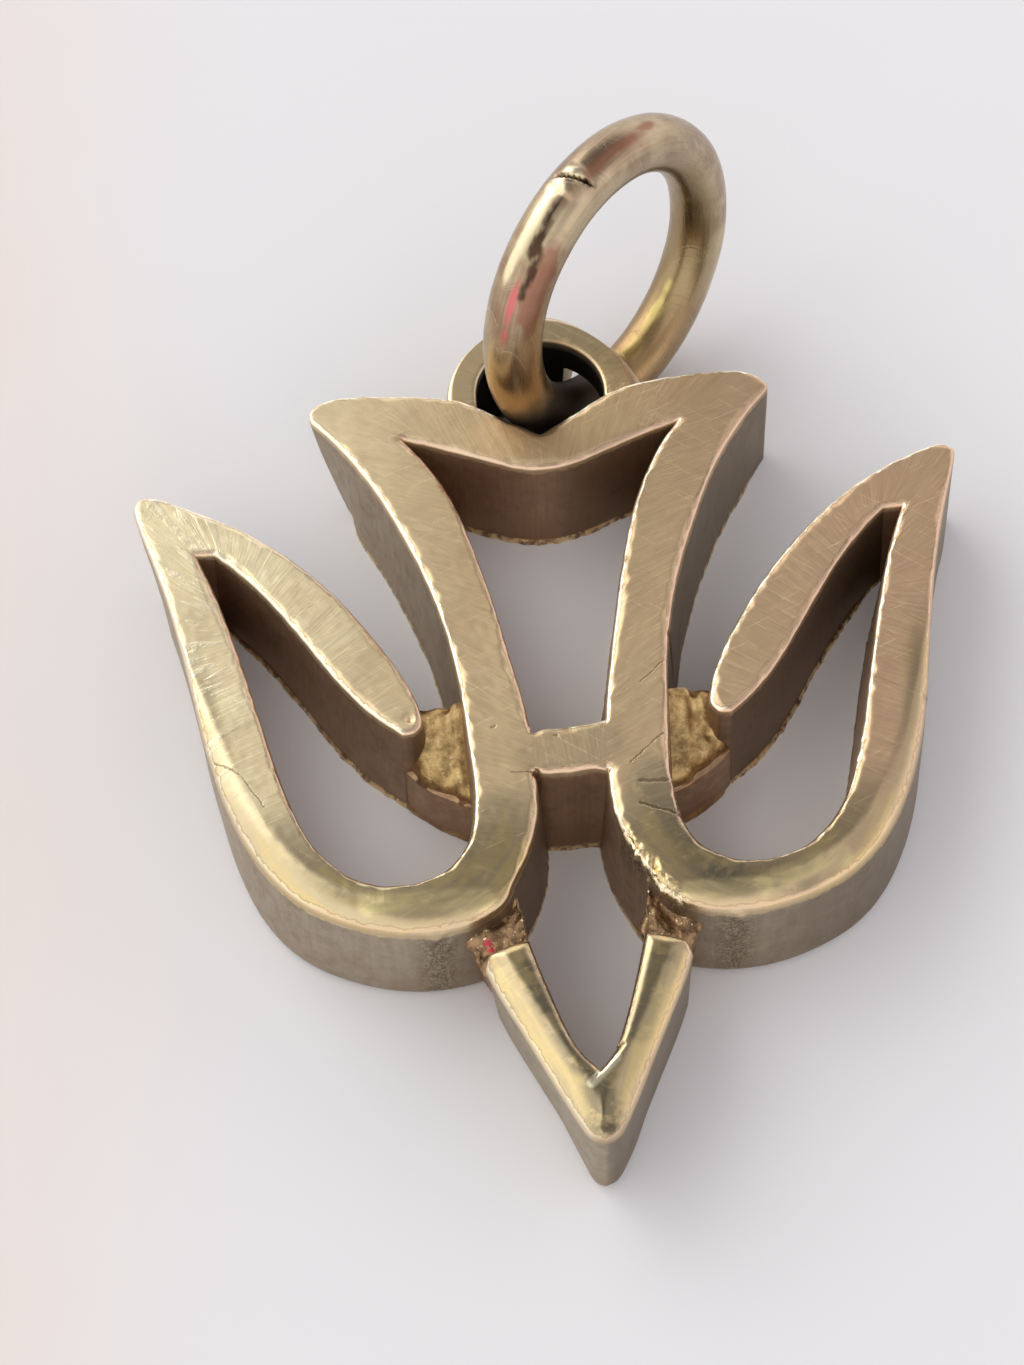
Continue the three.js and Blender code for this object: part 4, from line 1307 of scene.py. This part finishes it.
# %% Front of the satin brass
def satin_front(p, t):
    """The polished front: pale on the left, copper on the right, olive on domes."""
    # Painted light: lighter toward the window on the left, copper-brown toward the dimmer right
    base = p.mix(t.x.between(-8.5, -1.5), (0.98, 0.87, 0.58), (0.72, 0.55, 0.33))
    base = p.mix(t.x.between(0.0, 9.0) * 0.8, base, (0.72, 0.46, 0.30))
    base = p.mix(t.patches.between(0.38, 0.65) * 0.4, base, (0.62, 0.44, 0.26))
    base = p.mix(t.blotches.between(0.5, 0.75) * 0.25, base, (0.56, 0.37, 0.23))
    # Painted reflection: olive on the domes, as the dark side of the room would show there, with
    # golden stripes along them
    base = p.mix(t.dome * 0.7, base, (0.56, 0.46, 0.28))
    base = p.mix(t.streaks.between(0.48, 0.6) * t.dome * 0.6, base, (0.78, 0.60, 0.27))
    # Tarnish, with painted dark reflections on the domes
    dark_reflection_and_tarnish = strokes(p, t.flat, DARK_REFLECTION_AND_TARNISH) * t.blotches.between(0.38, 0.5, 0.35, 0.9)
    base = p.mix(dark_reflection_and_tarnish, base, (0.25, 0.22, 0.15))
    # Painted highlights where the domes face the window
    painted_highlight = strokes(p, t.flat, PAINTED_HIGHLIGHTS) * t.streaks.between(0.35, 0.55, 0.4, 1.0)
    base = p.mix(painted_highlight, base, (1.0, 0.84, 0.44))
    base = p.mix(t.brushed.between(0.3, 0.7) * t.calm * 0.22, base, (1.0, 0.84, 0.56))
    base = p.mix(t.coarse.between(0.5, 0.75) * t.calm * 0.25, base, (0.50, 0.37, 0.22))
    base = p.mix(t.comb * 0.6, base, (1.0, 0.95, 0.74))
    base = p.mix(t.lines * 0.16, base, (1.0, 0.88, 0.62))
    # Painted highlight on the crotch facet
    base = p.mix(strokes(p, t.flat, PAINTED_GLINT) * 0.9, base, (1.0, 0.92, 0.66))
    base = p.mix(t.cuts * 0.65, base, (0.17, 0.12, 0.075))
    # Edge facets rubbed bright, with painted highlights where they face the window and painted pink
    # reflections elsewhere
    lit = p.mix(t.sun.between(-0.4, 0.3), (0.74, 0.53, 0.385), (1.0, 0.95, 0.78))
    base = p.mix(t.facet * (0.9 - t.dome * 0.5), base, lit)
    # Painted shade: a thin dark line along the inner border of each edge facet
    thin = t.border.between(0.115, 0.14, 1.0, 0.0) * t.border.between(0.09, 0.115)
    return p.mix(thin * (1 - t.wall) * 0.5, base, (0.42, 0.26, 0.16))


print(satin_front.__doc__)


# %% Walls of the satin brass
def satin_walls(p, t, front):
    """Satin olive outside and brown in the holes, with golden ledges at the foot."""
    streaky = t.upright.between(0.3, 0.8)
    olive = p.mix(streaky, (0.40, 0.345, 0.265), (0.47, 0.405, 0.305))
    # Painted shade: the olive and the brown walls get darker toward their foot
    olive = p.mix(t.depth.between(0.3, 0.95) * 0.4, olive, (0.38, 0.30, 0.22))
    brown = p.mix(streaky, (0.41, 0.26, 0.165), (0.49, 0.32, 0.205))
    brown = p.mix(t.depth.between(0.5, 0.95) * 0.5, brown, (0.27, 0.165, 0.10))
    # Brown in the holes: patina, with painted shade there as well
    side = p.mix(t.dark, olive, brown)
    side = p.mix(t.blotches.between(0.45, 0.6) * 0.3, side, (0.33, 0.235, 0.16))
    grime = p.noise(t.place, 2.2, 4.0, 0.6)
    # Painted shade: walls that face away from the window are darkened
    side = p.mix(t.sun.between(-1.0, -0.55, 0.6, 0.0), side, (0.16, 0.12, 0.085))
    side = p.mix(grime.between(0.45, 0.75) * 0.4, side, (0.20, 0.14, 0.095))
    side = p.mix(t.rough * t.grain.between(0.42, 0.55), side, (0.10, 0.06, 0.04))
    # Ledges painted bright gold: rubbed metal, and a painted highlight where their tops catch the
    # light
    side = p.mix(t.ledge.between(0.1, 0.5) * t.jag.between(0.4, 0.55), side, (0.85, 0.66, 0.38))
    return p.mix(t.border.between(-0.12, -0.04) * 0.6, side, front)


print(satin_walls.__doc__)


# %% Satin brass
def satin_brass(name):
    """Front and walls together, with painted glints on the crumbs, painted shade inside the eyelet,
    roughness and fine relief.
    """
    p = Paint(bpy.data.materials.new(name))
    t = satin_textures(p)
    front = satin_front(p, t)
    base = p.mix(t.wall, front, satin_walls(p, t, front))
    # Painted glints: bright cream specks on the crumbs
    crumb_glints = t.rough * t.grain.between(0.5, 0.6) * (1 - t.wall * 0.7)
    base = p.mix(crumb_glints, base, (1.0, 0.88, 0.6))
    # Painted shade: nearly black inside the eyelet
    base = p.mix(t.soot, base, (0.03, 0.024, 0.022))
    rough = 0.33 + t.brushed * 0.1 + t.patches * 0.06 - t.dome * 0.16
    rough = rough + t.wall * (0.1 + t.dark * 0.06)
    rough = rough + t.soot * 0.2 - t.ledge * 0.1 - t.facet * (1 - t.dome) * 0.12
    height = (t.brushed * 0.6 + t.coarse * 0.5) * t.calm
    height = height + t.comb * 0.8 - t.lines * 0.25 - t.cuts * 1.5
    height = height * (1 - t.wall) + t.grain * (0.12 + t.wall * 0.5 + t.rough * 2.5)
    height = height + t.upright * t.wall * 0.3 - t.facet * 0.8 * t.jag
    return p.surface(Base_Color=base, Metallic=1.0, Roughness=rough,
                     Normal=p.bump(height, 0.6, 0.000013))


satin = satin_brass("satin_brass")
print(satin.name, "has", len(satin.node_tree.nodes), "nodes")

# %% [markdown]
# ### Rough cast brass
# Where no tool reached, brass keeps the skin of the mould: dull brown in the hollows, its
# patina deepened with painted shade that grows darker lower down, and bright grains on the
# lumps, which are painted glints. One function makes both kinds, ribbed beside the vanes and
# grainy beside the beak. It only takes other colours. A red speck beside the beak's left
# arm is in the photo too.

# %% Rough cast brass
RED_SPECK = [((-2.42, -4.95), (-2.32, -5.1), 0.14, 1.0)]


def cast_brass(name, dull, shiny, contrast):
    """Metal as it was cast: `dull` in its hollows and `shiny` on its lumps, with bright grains."""
    p = Paint(bpy.data.materials.new(name))
    place = p.place()
    wall, depth = p.mark("wall"), p.mark("depth")
    lumps = p.noise(place, 2.2, 5.0, 0.65)
    specks = p.noise(place, 11.0, 3.0, 0.6)
    # Colour follows the lumps of the relief: dull in the hollows, patina with painted shade
    base = p.mix(lumps.between(0.35, 0.62), dull, shiny)
    # Painted glints: bright specks on the grains
    base = p.mix(specks.between(0.6, 0.7) * contrast, base, (1.0, 0.88, 0.6))
    brown = p.mix(lumps.between(0.35, 0.7), (0.36, 0.225, 0.135), (0.50, 0.33, 0.20))
    base = p.mix(wall * (1 - p.mark("ledge")), base, brown)
    # Painted shade: darker lower down in the hollows
    base = p.mix(depth.between(0.55, 0.95) * 0.4, base, (0.26, 0.16, 0.1))
    red = strokes(p, p.scaled(place, (1, 1, 0)), RED_SPECK) * specks.between(0.4, 0.5)
    base = p.mix(red, base, (0.50, 0.06, 0.08))
    rough = 0.42 - specks.between(0.6, 0.7) * contrast * 0.2
    height = lumps * 0.6 + specks * contrast
    return p.surface(Base_Color=base, Metallic=1.0, Roughness=rough,
                     Normal=p.bump(height, 0.8, 0.00003))


ribbed = cast_brass("ribbed_cast_brass", (0.30, 0.19, 0.08), (0.66, 0.47, 0.22), 0.4)
grainy = cast_brass("grainy_cast_brass", (0.15, 0.09, 0.05), (0.40, 0.26, 0.145), 1.0)
print(grainy.name, "has", len(grainy.node_tree.nodes), "nodes")

# %% [markdown]
# ### Ring wire
# Drawn wire has fine lines along its length, which show as a stretched noise on the wire's
# own map. The patches that were marked on the ring get their colours here, one over the
# other, with the painted shade inside the eyelet last.

# %% Ring wire
# Colours of the marked patches: painted highlights, painted reflections and the painted shade
# inside the eyelet, over the wire's own colours
PATCH_COLOURS = [("inside", 0.75, (0.32, 0.235, 0.12)), ("bright", 0.8, (1.0, 0.88, 0.6)),
                 ("yellow", 0.75, (0.86, 0.74, 0.28)), ("amber", 0.7, (0.38, 0.23, 0.10)),
                 ("copper", 0.75, (0.31, 0.135, 0.085)), ("magenta", 0.85, (0.66, 0.16, 0.17)),
                 ("streak", 0.95, (0.07, 0.038, 0.025)), ("joint", 0.85, (1.0, 0.88, 0.6)),
                 ("split", 1.0, (0.04, 0.025, 0.02)), ("soot", 0.93, (0.05, 0.035, 0.025))]


def ring_brass(name):
    """Drawn brass wire, patchy and scratched, with its marked patches coloured in turn."""
    p = Paint(bpy.data.materials.new(name))
    place = p.place()
    patches = p.noise(place, 0.45, 4.0, 0.6)
    blush = p.noise(place, 0.9, 3.0, 0.6)
    base = p.mix(patches.between(0.35, 0.65), (0.52, 0.42, 0.275), (0.34, 0.25, 0.17))
    base = p.mix(blush.between(0.45, 0.7) * 0.6, base, (0.29, 0.18, 0.125))
    drawn = p.noise(p.strand(0.7, 14.0), 1.0, 4.0, 0.6)
    lines = scratches(p, 15, 0.6, 30.0, 0.68, 5.5) + scratches(p, 70, 0.6, 30.0, 0.70, 2.2)
    base = p.mix(drawn.between(0.35, 0.7) * 0.2, base, (0.70, 0.58, 0.38))
    base = p.mix(lines * 0.2, base, (1.0, 0.9, 0.68))
    for mark, strength, colour in PATCH_COLOURS:
        base = p.mix(p.mark(mark) * strength, base, colour)
    rough = 0.2 + drawn * 0.1 + patches * 0.06 + p.mark("soot") * 0.3 + p.mark("copper") * 0.08
    height = drawn * 0.4 - lines * 0.5 + p.noise(place, 6.0, 4.0, 0.6) * 0.4 - p.mark("streak")
    return p.surface(Base_Color=base, Metallic=1.0, Roughness=rough,
                     Normal=p.bump(height, 0.5, 0.000012))


wire = ring_brass("ring_brass")
print(wire.name, "has", len(wire.node_tree.nodes), "nodes")

# %% [markdown]
# Every piece gets one finish.

# %% Put the finishes on
finishes = {"wing_bridge": ribbed, "beak_bridge": grainy, "jump_ring": wire}
for key, piece in made.items():
    kind = key.removeprefix("left_").removeprefix("right_")
    piece.data.materials.append(finishes.get(kind, satin))
print("finishes on", len(made), "pieces")

# %% [markdown]
# ## Floor
# A pale matt table, a little pink on the left and a little lavender on the right. A white
# backdrop alone would do, but a real face under the charm takes its shadow and lights the
# walls from below.

# %% Floor
FLOOR_HALF = 0.6
BELOW = 0.00001
h = FLOOR_HALF
floor_mesh = bpy.data.meshes.new("pale_floor")
floor_mesh.from_pydata([(-h, -h, 0), (h, -h, 0), (h, h, 0), (-h, h, 0)], [], [(0, 1, 2, 3)])
floor = bpy.data.objects.new("pale_floor", floor_mesh)
floor.location = (0, 0, -BELOW)
bpy.context.scene.collection.objects.link(floor)
p = Paint(bpy.data.materials.new("pale_table"))
table_place = p.place()
clouds = p.noise(table_place, 0.12, 2.0, 0.5)
across_table = p.separate(table_place, "X") + clouds * 6.0
tone = p.mix(across_table.between(-17.0, -4.0), (0.87, 0.77, 0.73), (0.85, 0.855, 0.90))
floor.data.materials.append(p.surface(Base_Color=tone, Roughness=0.9))
print("floor", 2 * FLOOR_HALF, "m wide")

# %% [markdown]
# ## Light
# One large soft lamp stands behind the charm on the left, like a window. Polished metal
# shows what is around it more than the lamp itself, so the pale room matters as much: it is
# bright from the left and from the far side, dimmer on the right, straight above and where
# the flat fronts mirror it. All this is written in world directions, so it stays put when
# the camera moves.

# %% Window lamp
def lamp(name, place, size, power, colour):
    """A round lamp at `place` that faces the origin: its axes are the columns of its turn."""
    light = bpy.data.lights.new(name, "AREA")
    light.shape = "DISK"
    light.size = size
    light.energy = power
    light.color = colour
    holder = bpy.data.objects.new(name, light)
    z_axis = np.array(place) / np.linalg.norm(place)
    x_axis = unit(np.cross([0, 1, 0], z_axis))
    y_axis = np.cross(z_axis, x_axis)
    turned = Matrix((x_axis, y_axis, z_axis)).transposed().to_4x4()
    holder.matrix_world = Matrix.Translation(place) @ turned
    bpy.context.scene.collection.objects.link(holder)
    print(name, "at", place, "power", power)
    return holder


lamp("window_left", (-0.19, 0.28, 0.22), 0.30, 0.19, (1.0, 0.98, 0.95))

# %% Pale room
world = bpy.data.worlds.new("pale_room")
bpy.context.scene.world = world
room = Paint(world)
direction = room.node("ShaderNodeTexCoord", output="Generated")
x, y, z = (room.separate(direction, axis) for axis in "XYZ")


def toward(way):
    """How much a direction points the given way: the cosine of the angle between them."""
    return room.vector("DOT_PRODUCT", direction, way, "Value")


window = x.between(-0.36, -0.12, 1.0, 0.0) * y.between(0.15, 0.4) * z.between(0.1, 0.35)
in_mirror = toward((0.09, 0.54, 0.83)).between(0.86, 0.965)
overhead = toward((0.0, -0.15, 0.99)).between(0.87, 0.955)
level = 1.2 + window * 0.6
level = level * (1 - x.between(0.28, 0.5) * z.between(0.35, 0.6) * 0.5)
level = level * (1 - in_mirror * (1 - window) * 0.78) * (1 - overhead * 0.68)
hue = room.mix(x.between(-0.2, 0.4), (1.0, 0.98, 0.94), (1.0, 0.95, 0.95))
background = room.node("ShaderNodeBackground", None, {"Color": hue, "Strength": level})
room.node("ShaderNodeOutputWorld", None, {"Surface": background})
print("room nodes:", len(world.node_tree.nodes))

# %% [markdown]
# ## Size
# The dressed charm has to stay in the box of the packed model.
